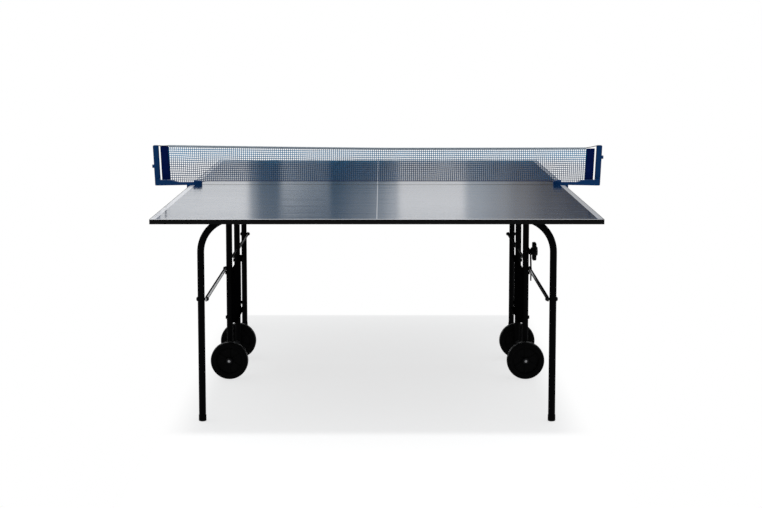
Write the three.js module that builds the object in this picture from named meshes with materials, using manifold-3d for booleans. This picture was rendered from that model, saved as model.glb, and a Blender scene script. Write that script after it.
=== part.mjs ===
// Folding table tennis table with its net set.
// Millimetres, +Z up. X runs along the net, Y along the table, origin on the floor at the centre.
// Each half turns up about a pivot on the centre carriage, and its leg frame is kept upright by a stay.
import * as THREE from 'three';
import { mergeVertices } from 'three/addons/utils/BufferGeometryUtils.js';
import Module from 'manifold-3d';

const wasm = await Module();
wasm.setup();

// ---- Driving dimensions -------------------------------------------------------------------------
const TABLE_LENGTH = 2740;
const TABLE_WIDTH = 1525;
const TABLE_HEIGHT = 760;
const BOARD_THICKNESS = 16;
const BAND_THICKNESS = 2;
const BOARD_CORNER = 5;
const SEAM_GAP = 7;
const FIT = 0.3;
const TUBE_SIDES = 16;
const PIN_SIDES = 12;
const HEX = 6;
const WHEEL_SIDES = 20;

const TUBE_DIAMETER = 25;
const PIN_DIAMETER = 8;
const BOLT_HEAD_DIAMETER = 14;
const BOLT_HEAD_LENGTH = 5;
const TUBE_HEADROOM = 2.5;

const PIVOT_OFFSET = 200;
const LEG_SETBACK = 340;
const LEG_CLEARANCE = 1.5;
const LEG_BEND = 120;
const STAY_DROP = 288;
const STAY_WIDTH = 18;
const STAY_THICKNESS = 4;

const RAIL_SIZE = 25;
const RAIL_EDGE = 2.5;
const RAIL_WALL = 1.8;
const RAIL_END_OVERHANG = 12;
const SADDLE_X = 450;
const SADDLE_LENGTH = 32;
const SADDLE_THICKNESS = 2.4;
const SADDLE_FLANGE = 20;

const UPRIGHT_SPREAD = 592;
const UPRIGHT_BOTTOM = 50;
const UPRIGHT_ABOVE_PIVOT = 7;
const CROSS_TUBE_Z = 680;
const TIE_ROD_DIAMETER = 8;
const TIE_ROD_Z = 472;
const SIDE_PLATE_BOTTOM = 222;
const SIDE_PLATE_TOP = 446;
const SIDE_PLATE_THICKNESS = 2;
const SIDE_PLATE_FLANGE = 14;
const SIDE_PLATE_BOLT_INSET = 22;

const WHEEL_DIAMETER = 150;
const WHEEL_WIDTH = 40;
const WHEEL_RIM_DIAMETER = 112;
const WHEEL_GAP = 3;
const AXLE_DIAMETER = 10;

const FOOT_WALL = 1;
const FOOT_HEIGHT = 24;
const FOOT_SOLE = 6;

const KNOB_DIAMETER = 80;
const KNOB_THICKNESS = 15;
const KNOB_BOSS_DIAMETER = 36;
const KNOB_BOSS_PROUD = 6;
const KNOB_LOBES = 6;
const LOCK_OUT = 30;
const LOCK_UP = 73;
const LOCK_RIM = 10;
const LUG_REACH = 12;
const LUG_THICKNESS = 4;

const NET_HEIGHT = 152.5;
const NET_OVERHANG = 152.5;
const NET_THICKNESS = 2;
const NET_LIFT = 8;
const TAPE_HEIGHT = 9;
const TAPE_THICKNESS = 5;
const TAPE_LIFT = 6;
const TAPE_LIFT_START = -300;
const POST_WIDTH = 23;
const POST_DEPTH = 20;
const POST_PROUD = 8;
const POST_LEAN = 7;
const POST_ROUNDING = 5;
const NET_ROD_DIAMETER = 8;
const SLEEVE_WIDTH = 34;
const SLEEVE_DEPTH = 14;
const SLEEVE_GAP = 6;
const SLEEVE_TOPS = { left: 912, right: 906 };
const CLEAT_LEVELS = { left: 835, right: 872 };
const CORD_DIAMETER = 4;
const CLAMP_REACH = 48;
const CLAMP_DEPTH = 26;
const CLAMP_OPENING = 48;
const CLAMP_BACK = 10;
const CLAMP_CLEAR = 2.5;
const CLAMP_STANDBACK = 9;
const PAD_DIAMETER = 24;
const PAD_THICKNESS = 6;
const SCREW_HANDLE_DIAMETER = 34;

// ---- Levels and places that follow ----------------------------------------------------------------
const UNDERSIDE = TABLE_HEIGHT - BOARD_THICKNESS;
const TUBE_RADIUS = TUBE_DIAMETER / 2;
const PIN_RADIUS = PIN_DIAMETER / 2;
const PIVOT_Z = UNDERSIDE - TUBE_HEADROOM - TUBE_RADIUS;
const LEG_Y = TABLE_LENGTH / 2 - LEG_SETBACK;
const STAY_Z = PIVOT_Z - STAY_DROP;
const UPRIGHT_FACE = UPRIGHT_SPREAD + TUBE_RADIUS;
const UPRIGHT_INNER = UPRIGHT_SPREAD - TUBE_RADIUS;
const STAY_X = UPRIGHT_FACE + 0.5;
const FOOT_RADIUS = TUBE_RADIUS + FIT + FOOT_WALL;
const LEG_SPREAD = STAY_X + STAY_THICKNESS + LEG_CLEARANCE + FOOT_RADIUS;
const RAIL_OUTER = UPRIGHT_INNER - 1;
const RAIL_INNER = RAIL_OUTER - RAIL_SIZE;
const RAIL_BOTTOM = UNDERSIDE - RAIL_SIZE;
const RAIL_END = LEG_Y - 50;
const AXLE_Z = WHEEL_DIAMETER / 2;
const WHEEL_Y = PIVOT_OFFSET + TUBE_RADIUS + WHEEL_GAP + WHEEL_WIDTH / 2;
const LOCK_RADIUS = Math.hypot(LOCK_OUT, LOCK_UP);
const LOCK_ANGLE = Math.atan2(LOCK_UP, LOCK_OUT);
const KNOB_Y = PIVOT_OFFSET + LOCK_OUT;
const KNOB_Z = STAY_Z + LOCK_UP;
const POST_OUTER = TABLE_WIDTH / 2 + NET_OVERHANG;
const POST_TOP = TABLE_HEIGHT + NET_HEIGHT + POST_PROUD;
const LEAN = POST_LEAN / NET_HEIGHT;
const POST_BASE = POST_OUTER - LEAN * (POST_TOP - TABLE_HEIGHT);
const POST_INNER = POST_BASE - POST_WIDTH;
const SLEEVE_X = POST_INNER - SLEEVE_GAP - SLEEVE_WIDTH / 2;
const NET_END = SLEEVE_X - SLEEVE_WIDTH / 2 - FIT;
const ARM_SHOULDER = SLEEVE_X - SLEEVE_WIDTH / 2 - 1;
const NET_TOP = TABLE_HEIGHT + NET_HEIGHT;
const TAPE_BOTTOM = NET_TOP - TAPE_HEIGHT;
const BRIDGE_TOP = TABLE_HEIGHT + NET_LIFT - 1.5;

// ---- Finishes -------------------------------------------------------------------------------------
const finish = (color, roughness, metalness = 0) =>
  new THREE.MeshStandardMaterial({ color, roughness, metalness });

const FINISHES = {
  playing: () => finish(0x14213f, 0.25),
  edge: () => finish(0x141416, 0.5),
  steel: () => finish(0x18181a, 0.4, 0.3),
  zinc: () => finish(0x8a8d90, 0.35, 0.9),
  rubber: () => finish(0x1c1c1c, 0.85),
  nylon: () => finish(0x202022, 0.55),
  hub: () => finish(0xb9bcbe, 0.45),
  post: () => finish(0x0c4a68, 0.45),
  cloth: () => finish(0x10204a, 0.9),
  netting: () => finish(0x6f7f92, 0.9),
  tape: () => finish(0x9b9ea2, 0.8),
};

// ---- Geometry helpers -----------------------------------------------------------------------------
const X = new THREE.Vector3(1, 0, 0);
const Y = new THREE.Vector3(0, 1, 0);
const Z = new THREE.Vector3(0, 0, 1);

// Position-only indexed triangles, without slivers, with the faces pointing out.
function clean(geometry) {
  const bare = geometry.clone();
  bare.deleteAttribute('normal');
  bare.deleteAttribute('uv');
  const merged = mergeVertices(bare, 1e-3);
  const index = merged.index.array;
  const p = merged.attributes.position;
  const kept = [];
  const a = new THREE.Vector3();
  const b = new THREE.Vector3();
  const c = new THREE.Vector3();
  let volume = 0;
  for (let i = 0; i < index.length; i += 3) {
    const [i0, i1, i2] = [index[i], index[i + 1], index[i + 2]];
    if (i0 === i1 || i1 === i2 || i2 === i0) continue;
    kept.push(i0, i1, i2);
    a.fromBufferAttribute(p, i0);
    b.fromBufferAttribute(p, i1);
    c.fromBufferAttribute(p, i2);
    volume += a.dot(b.cross(c));
  }
  if (volume < 0) kept.reverse();
  merged.setIndex(kept);
  return merged;
}

function solidOf(geometry) {
  const tidy = clean(geometry);
  return new wasm.Manifold(new wasm.Mesh({
    numProp: 3,
    vertProperties: new Float32Array(tidy.attributes.position.array),
    triVerts: new Uint32Array(tidy.index.array),
  }));
}

function geometryOf(solid) {
  const mesh = solid.getMesh();
  const geometry = new THREE.BufferGeometry();
  geometry.setAttribute('position', new THREE.BufferAttribute(mesh.vertProperties, 3));
  geometry.setIndex(new THREE.BufferAttribute(mesh.triVerts, 1));
  return geometry;
}

// Joins the first list of geometries and cuts the second list out of it.
function shape(joined, cuts = []) {
  let solid = solidOf(joined[0]);
  for (const piece of joined.slice(1)) solid = solid.add(solidOf(piece));
  for (const tool of cuts) solid = solid.subtract(solidOf(tool));
  return geometryOf(solid);
}

function box(x0, x1, y0, y1, z0, z1) {
  const geometry = new THREE.BoxGeometry(x1 - x0, y1 - y0, z1 - z0);
  return geometry.translate((x0 + x1) / 2, (y0 + y1) / 2, (z0 + z1) / 2);
}

// Turns a profile of [radius, height] points about an axis through the origin.
function revolve(profile, axis, segments = TUBE_SIDES) {
  const points = profile.map(([r, h]) => new THREE.Vector2(r, h));
  const geometry = new THREE.LatheGeometry(points, segments);
  if (axis === X) geometry.rotateZ(-Math.PI / 2);
  if (axis === Z) geometry.rotateX(Math.PI / 2);
  return geometry;
}

// A plain round bar from one height to another along an axis; it also serves as a drill.
function bar(axis, diameter, from, to, segments = PIN_SIDES) {
  const r = diameter / 2;
  return revolve([[0, from], [r, from], [r, to], [0, to]], axis, segments);
}

// A round bar with its end edges broken.
function chamferedBar(axis, diameter, from, to, segments = TUBE_SIDES, chamfer = 1) {
  const r = diameter / 2;
  const profile = [[0, from], [r - chamfer, from], [r, from + chamfer],
    [r, to - chamfer], [r - chamfer, to], [0, to]];
  return revolve(profile, axis, segments);
}

// Extrudes an outline drawn in (y, z) along X.
function plateAcrossX(outline, x0, x1, curveSegments = 12) {
  const geometry = new THREE.ExtrudeGeometry(outline,
    { depth: x1 - x0, bevelEnabled: false, curveSegments });
  geometry.applyMatrix4(new THREE.Matrix4().makeBasis(Y, Z, X));
  return geometry.translate(x0, 0, 0);
}

// Extrudes an outline drawn in (x, z) along Y.
function plateAcrossY(outline, y0, y1, curveSegments = 12) {
  const geometry = new THREE.ExtrudeGeometry(outline,
    { depth: y1 - y0, bevelEnabled: false, curveSegments });
  geometry.applyMatrix4(new THREE.Matrix4().makeBasis(X, Z, Y.clone().negate()));
  return geometry.translate(0, y1, 0);
}

// Extrudes an outline drawn in (x, y) along Z.
function plateAcrossZ(outline, z0, z1, curveSegments = 12) {
  const geometry = new THREE.ExtrudeGeometry(outline,
    { depth: z1 - z0, bevelEnabled: false, curveSegments });
  return geometry.translate(0, 0, z0);
}

// A rectangle with round corners, as a Shape or as a hole Path.
function roundedRectangle(u0, u1, v0, v1, radius, Kind = THREE.Shape) {
  const outline = new Kind();
  outline.moveTo(u0 + radius, v0);
  outline.lineTo(u1 - radius, v0);
  outline.absarc(u1 - radius, v0 + radius, radius, -Math.PI / 2, 0);
  outline.lineTo(u1, v1 - radius);
  outline.absarc(u1 - radius, v1 - radius, radius, 0, Math.PI / 2);
  outline.lineTo(u0 + radius, v1);
  outline.absarc(u0 + radius, v1 - radius, radius, Math.PI / 2, Math.PI);
  outline.lineTo(u0, v0 + radius);
  outline.absarc(u0 + radius, v0 + radius, radius, Math.PI, Math.PI * 1.5);
  return outline;
}

function polygon(points) {
  return new THREE.Shape(points.map(([u, v]) => new THREE.Vector2(u, v)));
}

function circlePath(u, v, radius) {
  const path = new THREE.Path();
  path.absarc(u, v, radius, 0, Math.PI * 2, true);
  return path;
}

// Mirrors a geometry in the plane X = 0.
function mirrored(geometry) {
  return clean(geometry.clone().scale(-1, 1, 1));
}

// A piece drawn for the +X side, given for the side asked for.
const ofSide = (values, side) => (side < 0 ? values.left : values.right);
const onSide = (side, geometry) => (side > 0 ? geometry : mirrored(geometry));

function piece(name, geometry, material) {
  const mesh = new THREE.Mesh(clean(geometry), material);
  mesh.name = name;
  return mesh;
}

// A path whose sections stand exactly at the given stations.
class Stations extends THREE.Curve {
  constructor(points, tangents) {
    super();
    this.points = points;
    this.tangents = tangents;
  }

  at(list, u) {
    return list[Math.round(u * (list.length - 1))].clone();
  }

  getPoint(u, target = new THREE.Vector3()) {
    return target.copy(this.at(this.points, u));
  }

  getPointAt(u, target) {
    return this.getPoint(u, target);
  }

  getTangent(u, target = new THREE.Vector3()) {
    return target.copy(this.at(this.tangents, u));
  }

  getTangentAt(u, target) {
    return this.getTangent(u, target);
  }
}

// ---- Half table: everything below is drawn with +Y pointing outwards from the net -----------------
function boardOutline(inset, Kind = THREE.Shape) {
  const halfWidth = TABLE_WIDTH / 2 - inset;
  return roundedRectangle(-halfWidth, halfWidth, SEAM_GAP / 2 + inset, TABLE_LENGTH / 2 - inset,
    BOARD_CORNER - inset, Kind);
}

function board(name) {
  const outline = boardOutline(BAND_THICKNESS);
  return piece(`${name}_top_board`, plateAcrossZ(outline, UNDERSIDE, TABLE_HEIGHT, 2), FINISHES.playing());
}

function edgeBand(name) {
  const outline = boardOutline(0);
  outline.holes.push(boardOutline(BAND_THICKNESS, THREE.Path));
  return piece(`${name}_edge_band`, plateAcrossZ(outline, UNDERSIDE, TABLE_HEIGHT, 2), FINISHES.edge());
}

// Section of a square tube that hangs from the underside, from a first edge across.
function squareTube(edge) {
  const section = roundedRectangle(edge, edge + RAIL_SIZE, RAIL_BOTTOM, UNDERSIDE, RAIL_EDGE);
  section.holes.push(roundedRectangle(edge + RAIL_WALL, edge + RAIL_SIZE - RAIL_WALL,
    RAIL_BOTTOM + RAIL_WALL, UNDERSIDE - RAIL_WALL, RAIL_EDGE - RAIL_WALL, THREE.Path));
  return section;
}

// Square rail under the board, drilled for the pivot pin beside the upright.
function rail(name, side) {
  const section = squareTube(RAIL_INNER);
  const start = PIVOT_OFFSET - RAIL_END_OVERHANG;
  const blank = plateAcrossY(section, start, RAIL_END, 1);
  const hole = bar(X, PIN_DIAMETER + 2 * FIT, RAIL_INNER - 1, RAIL_OUTER + 1);
  hole.translate(0, PIVOT_OFFSET, PIVOT_Z);
  return piece(name, onSide(side, shape([blank], [hole])), FINISHES.steel());
}

function crossBar(name, y) {
  const section = squareTube(y);
  const reach = RAIL_INNER - FIT;
  return piece(name, plateAcrossX(section, -reach, reach, 1), FINISHES.steel());
}

// Strap that carries the top tube of the leg frame, screwed under the board by its two flanges.
function saddle(name, side) {
  const inner = TUBE_RADIUS + 0.4;
  const outer = inner + SADDLE_THICKNESS;
  const flangeBottom = UNDERSIDE - SADDLE_THICKNESS;
  const outline = new THREE.Shape();
  outline.moveTo(outer + SADDLE_FLANGE, UNDERSIDE);
  outline.lineTo(inner, UNDERSIDE);
  outline.lineTo(inner, PIVOT_Z);
  outline.absarc(0, PIVOT_Z, inner, 0, -Math.PI, true);
  outline.lineTo(-inner, UNDERSIDE);
  outline.lineTo(-outer - SADDLE_FLANGE, UNDERSIDE);
  outline.lineTo(-outer - SADDLE_FLANGE, flangeBottom);
  outline.lineTo(-outer, flangeBottom);
  outline.lineTo(-outer, PIVOT_Z);
  outline.absarc(0, PIVOT_Z, outer, -Math.PI, 0, false);
  outline.lineTo(outer, flangeBottom);
  outline.lineTo(outer + SADDLE_FLANGE, flangeBottom);
  const strap = plateAcrossX(outline, -SADDLE_LENGTH / 2, SADDLE_LENGTH / 2, 6);
  const mesh = piece(name, strap, FINISHES.zinc());
  mesh.position.set(side * SADDLE_X, LEG_Y, 0);
  return mesh;
}

// ---- Leg frame: one bent tube with a stay bolt through each leg ------------------------------------
function bentTubeStations() {
  const foot = FOOT_SOLE + FIT;
  const centreX = LEG_SPREAD - LEG_BEND;
  const centreZ = PIVOT_Z - LEG_BEND;
  const steps = 6;
  const points = [new THREE.Vector3(LEG_SPREAD, 0, foot)];
  const tangents = [Z.clone()];
  for (let i = 0; i <= steps; i += 1) {
    const angle = (i / steps) * (Math.PI / 2);
    points.push(new THREE.Vector3(centreX + LEG_BEND * Math.cos(angle), 0,
      centreZ + LEG_BEND * Math.sin(angle)));
    tangents.push(new THREE.Vector3(-Math.sin(angle), 0, Math.cos(angle)));
  }
  const mirroredPoints = points.map((p) => new THREE.Vector3(-p.x, 0, p.z)).reverse();
  const mirroredTangents = tangents.map((t) => new THREE.Vector3(t.x, 0, -t.z)).reverse();
  return new Stations([...points, ...mirroredPoints], [...tangents, ...mirroredTangents]);
}

function stayBolt(side) {
  const innerEnd = STAY_X - FIT - BOLT_HEAD_LENGTH;
  const outerFace = LEG_SPREAD + TUBE_RADIUS;
  const parts = [
    bar(X, PIN_DIAMETER, innerEnd, outerFace + 1),
    bar(X, BOLT_HEAD_DIAMETER, innerEnd, STAY_X - FIT, HEX),
    bar(X, BOLT_HEAD_DIAMETER, outerFace - 1, outerFace + BOLT_HEAD_LENGTH, HEX),
  ];
  return parts.map((part) => onSide(side, part.translate(0, 0, STAY_Z)));
}

function legFrame(name) {
  const route = bentTubeStations();
  const section = new THREE.Shape();
  section.absarc(0, 0, TUBE_RADIUS, 0, Math.PI * 2);
  const tube = new THREE.ExtrudeGeometry(section,
    { steps: route.points.length - 1, extrudePath: route, curveSegments: TUBE_SIDES / 2 });
  const mesh = piece(`${name}_leg_frame`, shape([tube, ...stayBolt(1), ...stayBolt(-1)]), FINISHES.steel());
  mesh.position.y = LEG_Y;
  return mesh;
}

// Rubber cap over the end of a leg, with a flat sole.
function foot(name, side) {
  const bore = TUBE_RADIUS + FIT;
  const cap = revolve([[0, 0], [FOOT_RADIUS - 3, 0], [FOOT_RADIUS, 3], [FOOT_RADIUS, FOOT_HEIGHT],
    [bore, FOOT_HEIGHT], [bore, FOOT_SOLE], [0, FOOT_SOLE]], Z);
  const mesh = piece(name, cap, FINISHES.rubber());
  mesh.position.set(side * LEG_SPREAD, LEG_Y, 0);
  return mesh;
}

// ---- Stays: flat links from the uprights to the legs ------------------------------------------------
function linkOutline() {
  const half = STAY_WIDTH / 2;
  const outline = new THREE.Shape();
  outline.moveTo(PIVOT_OFFSET, STAY_Z - half);
  outline.lineTo(LEG_Y, STAY_Z - half);
  outline.absarc(LEG_Y, STAY_Z, half, -Math.PI / 2, Math.PI / 2);
  outline.lineTo(PIVOT_OFFSET, STAY_Z + half);
  outline.absarc(PIVOT_OFFSET, STAY_Z, half, Math.PI / 2, Math.PI * 1.5);
  return outline;
}

// Ring sector about the stay pivot with round ends, a quarter turn between the two end centres.
function lockArc(halfWidth, Kind = THREE.Shape) {
  const first = LOCK_ANGLE - Math.PI / 2;
  const last = LOCK_ANGLE;
  const end = (angle) => [PIVOT_OFFSET + LOCK_RADIUS * Math.cos(angle),
    STAY_Z + LOCK_RADIUS * Math.sin(angle)];
  const arc = new Kind();
  arc.absarc(PIVOT_OFFSET, STAY_Z, LOCK_RADIUS + halfWidth, first, last);
  arc.absarc(...end(last), halfWidth, last, last + Math.PI);
  arc.absarc(PIVOT_OFFSET, STAY_Z, LOCK_RADIUS - halfWidth, last, first, true);
  arc.absarc(...end(first), halfWidth, first + Math.PI, first + Math.PI * 2);
  return arc;
}

// Web between the link's pivot and the arc that the clamping stud runs in.
function lockWeb() {
  const middle = LOCK_ANGLE - Math.PI / 4;
  const web = new THREE.Shape();
  web.moveTo(PIVOT_OFFSET, STAY_Z);
  web.absarc(PIVOT_OFFSET, STAY_Z, LOCK_RADIUS, middle - Math.PI / 4, middle + Math.PI / 4);
  return web;
}

function stay(name, side, locking) {
  const across = (outline, sink = 0) => plateAcrossX(outline, STAY_X - sink,
    STAY_X + STAY_THICKNESS + sink, 6);
  const joined = [across(linkOutline())];
  const cuts = [PIVOT_OFFSET, LEG_Y].map((y) => bar(X, PIN_DIAMETER + 2 * FIT, STAY_X - 1,
    STAY_X + STAY_THICKNESS + 1).translate(0, y, STAY_Z));
  if (locking) {
    joined.push(across(lockArc(LOCK_RIM)), across(lockWeb()));
    cuts.push(across(lockArc(PIN_RADIUS + 2 * FIT), 1));
  }
  return piece(name, onSide(side, shape(joined, cuts)), FINISHES.steel());
}

// ---- Centre carriage --------------------------------------------------------------------------------
// Upright tube with its pivot pins and the heads of the side plate bolts.
function upright(name, side, locking) {
  const at = (geometry, z) => geometry.translate(0, PIVOT_OFFSET, z);
  const tube = chamferedBar(Z, TUBE_DIAMETER, UPRIGHT_BOTTOM, PIVOT_Z + UPRIGHT_ABOVE_PIVOT);
  tube.translate(UPRIGHT_SPREAD, PIVOT_OFFSET, 0);
  const railHead = RAIL_INNER - FIT;
  const stayHead = STAY_X + STAY_THICKNESS + FIT;
  const joined = [
    tube,
    at(bar(X, PIN_DIAMETER, railHead - 1, UPRIGHT_SPREAD), PIVOT_Z),
    at(bar(X, BOLT_HEAD_DIAMETER, railHead - BOLT_HEAD_LENGTH, railHead, HEX), PIVOT_Z),
    at(bar(X, PIN_DIAMETER, UPRIGHT_SPREAD, stayHead + 1), STAY_Z),
    at(bar(X, BOLT_HEAD_DIAMETER, stayHead, stayHead + BOLT_HEAD_LENGTH, HEX), STAY_Z),
  ];
  for (const z of sidePlateBoltLevels()) {
    const head = bar(X, BOLT_HEAD_DIAMETER, UPRIGHT_FACE - 2, UPRIGHT_FACE + BOLT_HEAD_LENGTH - 1, HEX);
    joined.push(at(head, z));
  }
  const axleHole = bar(Y, AXLE_DIAMETER + 2 * FIT, 0, 2 * PIVOT_OFFSET);
  const cuts = [axleHole.translate(UPRIGHT_SPREAD, 0, AXLE_Z)];
  if (locking) {
    joined.push(lockLug());
    const bore = bar(X, PIN_DIAMETER + 2 * FIT, UPRIGHT_SPREAD, UPRIGHT_FACE + 1);
    cuts.push(bore.translate(0, KNOB_Y, KNOB_Z));
  }
  return piece(name, onSide(side, shape(joined, cuts)), FINISHES.steel());
}

// Ear on the upright for the clamping stud.
function lockLug() {
  const outline = roundedRectangle(PIVOT_OFFSET - 6, KNOB_Y + LUG_REACH,
    KNOB_Z - LUG_REACH, KNOB_Z + LUG_REACH, 8);
  return plateAcrossX(outline, UPRIGHT_FACE - LUG_THICKNESS, UPRIGHT_FACE, 4);
}

function sidePlateBoltLevels() {
  return [SIDE_PLATE_BOTTOM + SIDE_PLATE_BOLT_INSET, SIDE_PLATE_TOP - SIDE_PLATE_BOLT_INSET];
}

// Folded sheet that ties the two uprights of one side, with turned-in flanges.
function sidePlate(name, side) {
  const outer = UPRIGHT_INNER - FIT;
  const inner = outer - SIDE_PLATE_THICKNESS;
  const reach = PIVOT_OFFSET + TUBE_RADIUS;
  const sheet = roundedRectangle(-reach, reach, SIDE_PLATE_BOTTOM, SIDE_PLATE_TOP, 8);
  const flange = (z0) => box(inner - SIDE_PLATE_FLANGE, inner + 0.5, -reach + 8, reach - 8,
    z0, z0 + SIDE_PLATE_THICKNESS);
  const joined = [plateAcrossX(sheet, inner, outer, 3), flange(SIDE_PLATE_BOTTOM),
    flange(SIDE_PLATE_TOP - SIDE_PLATE_THICKNESS)];
  for (const z of sidePlateBoltLevels()) {
    for (const y of [-PIVOT_OFFSET, PIVOT_OFFSET]) {
      const head = bar(X, BOLT_HEAD_DIAMETER, inner - BOLT_HEAD_LENGTH, inner + 0.5, HEX);
      joined.push(head.translate(0, y, z));
    }
  }
  return piece(name, onSide(side, shape(joined)), FINISHES.steel());
}

function tieRod(name, side) {
  const reach = PIVOT_OFFSET - TUBE_RADIUS - FIT;
  const mesh = piece(name, bar(Y, TIE_ROD_DIAMETER, -reach, reach), FINISHES.steel());
  mesh.position.set(side * UPRIGHT_SPREAD, 0, TIE_ROD_Z);
  return mesh;
}

// Cross tube between the uprights of one end, its ends cut to sit round them.
function crossTube(name) {
  const blank = bar(X, TUBE_DIAMETER, -UPRIGHT_SPREAD, UPRIGHT_SPREAD, TUBE_SIDES);
  const seat = (side) => bar(Z, TUBE_DIAMETER + 2 * FIT, -TUBE_DIAMETER, TUBE_DIAMETER, TUBE_SIDES)
    .translate(side * UPRIGHT_SPREAD, 0, 0);
  const reach = TUBE_DIAMETER;
  const past = (side) => box(-reach, reach, -reach, reach, -reach, reach)
    .translate(side * (UPRIGHT_SPREAD + TUBE_DIAMETER - TUBE_RADIUS / 2), 0, 0);
  const mesh = piece(name, shape([blank], [seat(1), seat(-1), past(1), past(-1)]), FINISHES.steel());
  mesh.position.set(0, PIVOT_OFFSET, CROSS_TUBE_Z);
  return mesh;
}

// ---- Wheels -----------------------------------------------------------------------------------------
function tyre(name, side) {
  const r = WHEEL_DIAMETER / 2;
  const bore = WHEEL_RIM_DIAMETER / 2 + FIT;
  const half = WHEEL_WIDTH / 2;
  const profile = [
    [bore, -half + 4], [bore + 4, -half], [r - 6, -half], [r, -half + 6], [r, -6], [r - 2.5, -4],
    [r - 2.5, 4], [r, 6], [r, half - 6], [r - 6, half], [bore + 4, half], [bore, half - 4],
    [bore, -half + 4],
  ];
  const mesh = piece(name, revolve(profile, Y, WHEEL_SIDES), FINISHES.rubber());
  mesh.position.set(side * UPRIGHT_SPREAD, WHEEL_Y, AXLE_Z);
  return mesh;
}

// Dished disc with a boss that runs on the axle bolt.
function hub(name, side) {
  const rim = WHEEL_RIM_DIAMETER / 2;
  const half = WHEEL_WIDTH / 2;
  const bore = AXLE_DIAMETER / 2 + FIT;
  const boss = bore + 8;
  const web = 5;
  const halfProfile = [[rim, half - 5], [rim - 5, half - 5], [rim - 8, web], [boss + 6, web],
    [boss, half - 1], [bore, half - 1]];
  const lower = halfProfile.map(([radius, h]) => [radius, -h]).reverse();
  const profile = [...halfProfile, ...lower, halfProfile[0]];
  const mesh = piece(name, revolve(profile, Y, WHEEL_SIDES), FINISHES.nylon());
  mesh.position.set(side * UPRIGHT_SPREAD, WHEEL_Y, AXLE_Z);
  return mesh;
}

// Bolt that passes the upright and carries the wheel, with a cap over its head.
function axleBolt(name, side) {
  const inner = PIVOT_OFFSET - TUBE_RADIUS - FIT;
  const outer = WHEEL_Y + WHEEL_WIDTH / 2 - 1 + FIT;
  const joined = [
    bar(Y, AXLE_DIAMETER, inner - 9, outer + 1),
    bar(Y, 18, inner - 8, inner, HEX),
    revolve([[0, outer], [13, outer], [13, outer + 2], [10, outer + 6], [0, outer + 7]], Y, 16),
  ];
  const mesh = piece(name, shape(joined), FINISHES.hub());
  mesh.position.set(side * UPRIGHT_SPREAD, 0, AXLE_Z);
  return mesh;
}

// ---- Locking knob -----------------------------------------------------------------------------------
function lockKnob(name) {
  const outerRadius = KNOB_DIAMETER / 2;
  const valley = outerRadius * 0.78;
  const outline = new THREE.Shape();
  const steps = KNOB_LOBES * 7;
  for (let i = 0; i < steps; i += 1) {
    const angle = (i / steps) * Math.PI * 2;
    const radius = valley + (outerRadius - valley) * (0.5 + 0.5 * Math.cos(KNOB_LOBES * angle));
    const v = [radius * Math.cos(angle), radius * Math.sin(angle)];
    if (i === 0) outline.moveTo(...v);
    else outline.lineTo(...v);
  }
  const bevel = 3;
  const grip = new THREE.ExtrudeGeometry(outline, {
    depth: KNOB_THICKNESS - 2 * bevel, bevelEnabled: true, bevelThickness: bevel,
    bevelSize: bevel, bevelOffset: -bevel, bevelSegments: 1 });
  grip.applyMatrix4(new THREE.Matrix4().makeBasis(Y, Z, X));
  const seat = STAY_X + STAY_THICKNESS + FIT;
  const bossLength = 6;
  grip.translate(seat + bossLength + bevel, 0, 0);
  const joined = [
    grip,
    bar(X, 30, seat, seat + bossLength + 2),
    bar(X, KNOB_BOSS_DIAMETER, seat + bossLength + 2, seat + bossLength + KNOB_THICKNESS + KNOB_BOSS_PROUD),
    bar(X, PIN_DIAMETER, UPRIGHT_FACE - LUG_THICKNESS - 8, seat + bossLength + 1),
  ];
  const mesh = piece(name, shape(joined), FINISHES.nylon());
  mesh.position.set(0, -KNOB_Y, KNOB_Z);
  return mesh;
}

// ---- Net set, clamped to the near half --------------------------------------------------------------
// Leans what stands on the board outwards, like the posts.
function leaned(geometry) {
  const shear = new THREE.Matrix4();
  shear.elements[8] = LEAN;
  shear.elements[12] = -LEAN * TABLE_HEIGHT;
  return geometry.applyMatrix4(shear);
}

// Half length of the net at a level, between the leaning sleeves.
const netReach = (z) => NET_END + LEAN * (z - TABLE_HEIGHT);

// Upright post with rounded long edges and a rounded top.
function netPost() {
  const half = POST_DEPTH / 2;
  const bottom = TABLE_HEIGHT - 12;
  const section = roundedRectangle(POST_INNER, POST_BASE, -half, half, POST_ROUNDING);
  const face = roundedRectangle(POST_INNER - 0.01, POST_BASE + 0.01, bottom, POST_TOP, POST_ROUNDING);
  const standing = plateAcrossZ(section, TABLE_HEIGHT - 2, POST_TOP + 1, 3);
  const across = plateAcrossY(face, -POST_DEPTH, POST_DEPTH, 3);
  return leaned(geometryOf(solidOf(standing).intersect(solidOf(across))));
}

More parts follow.
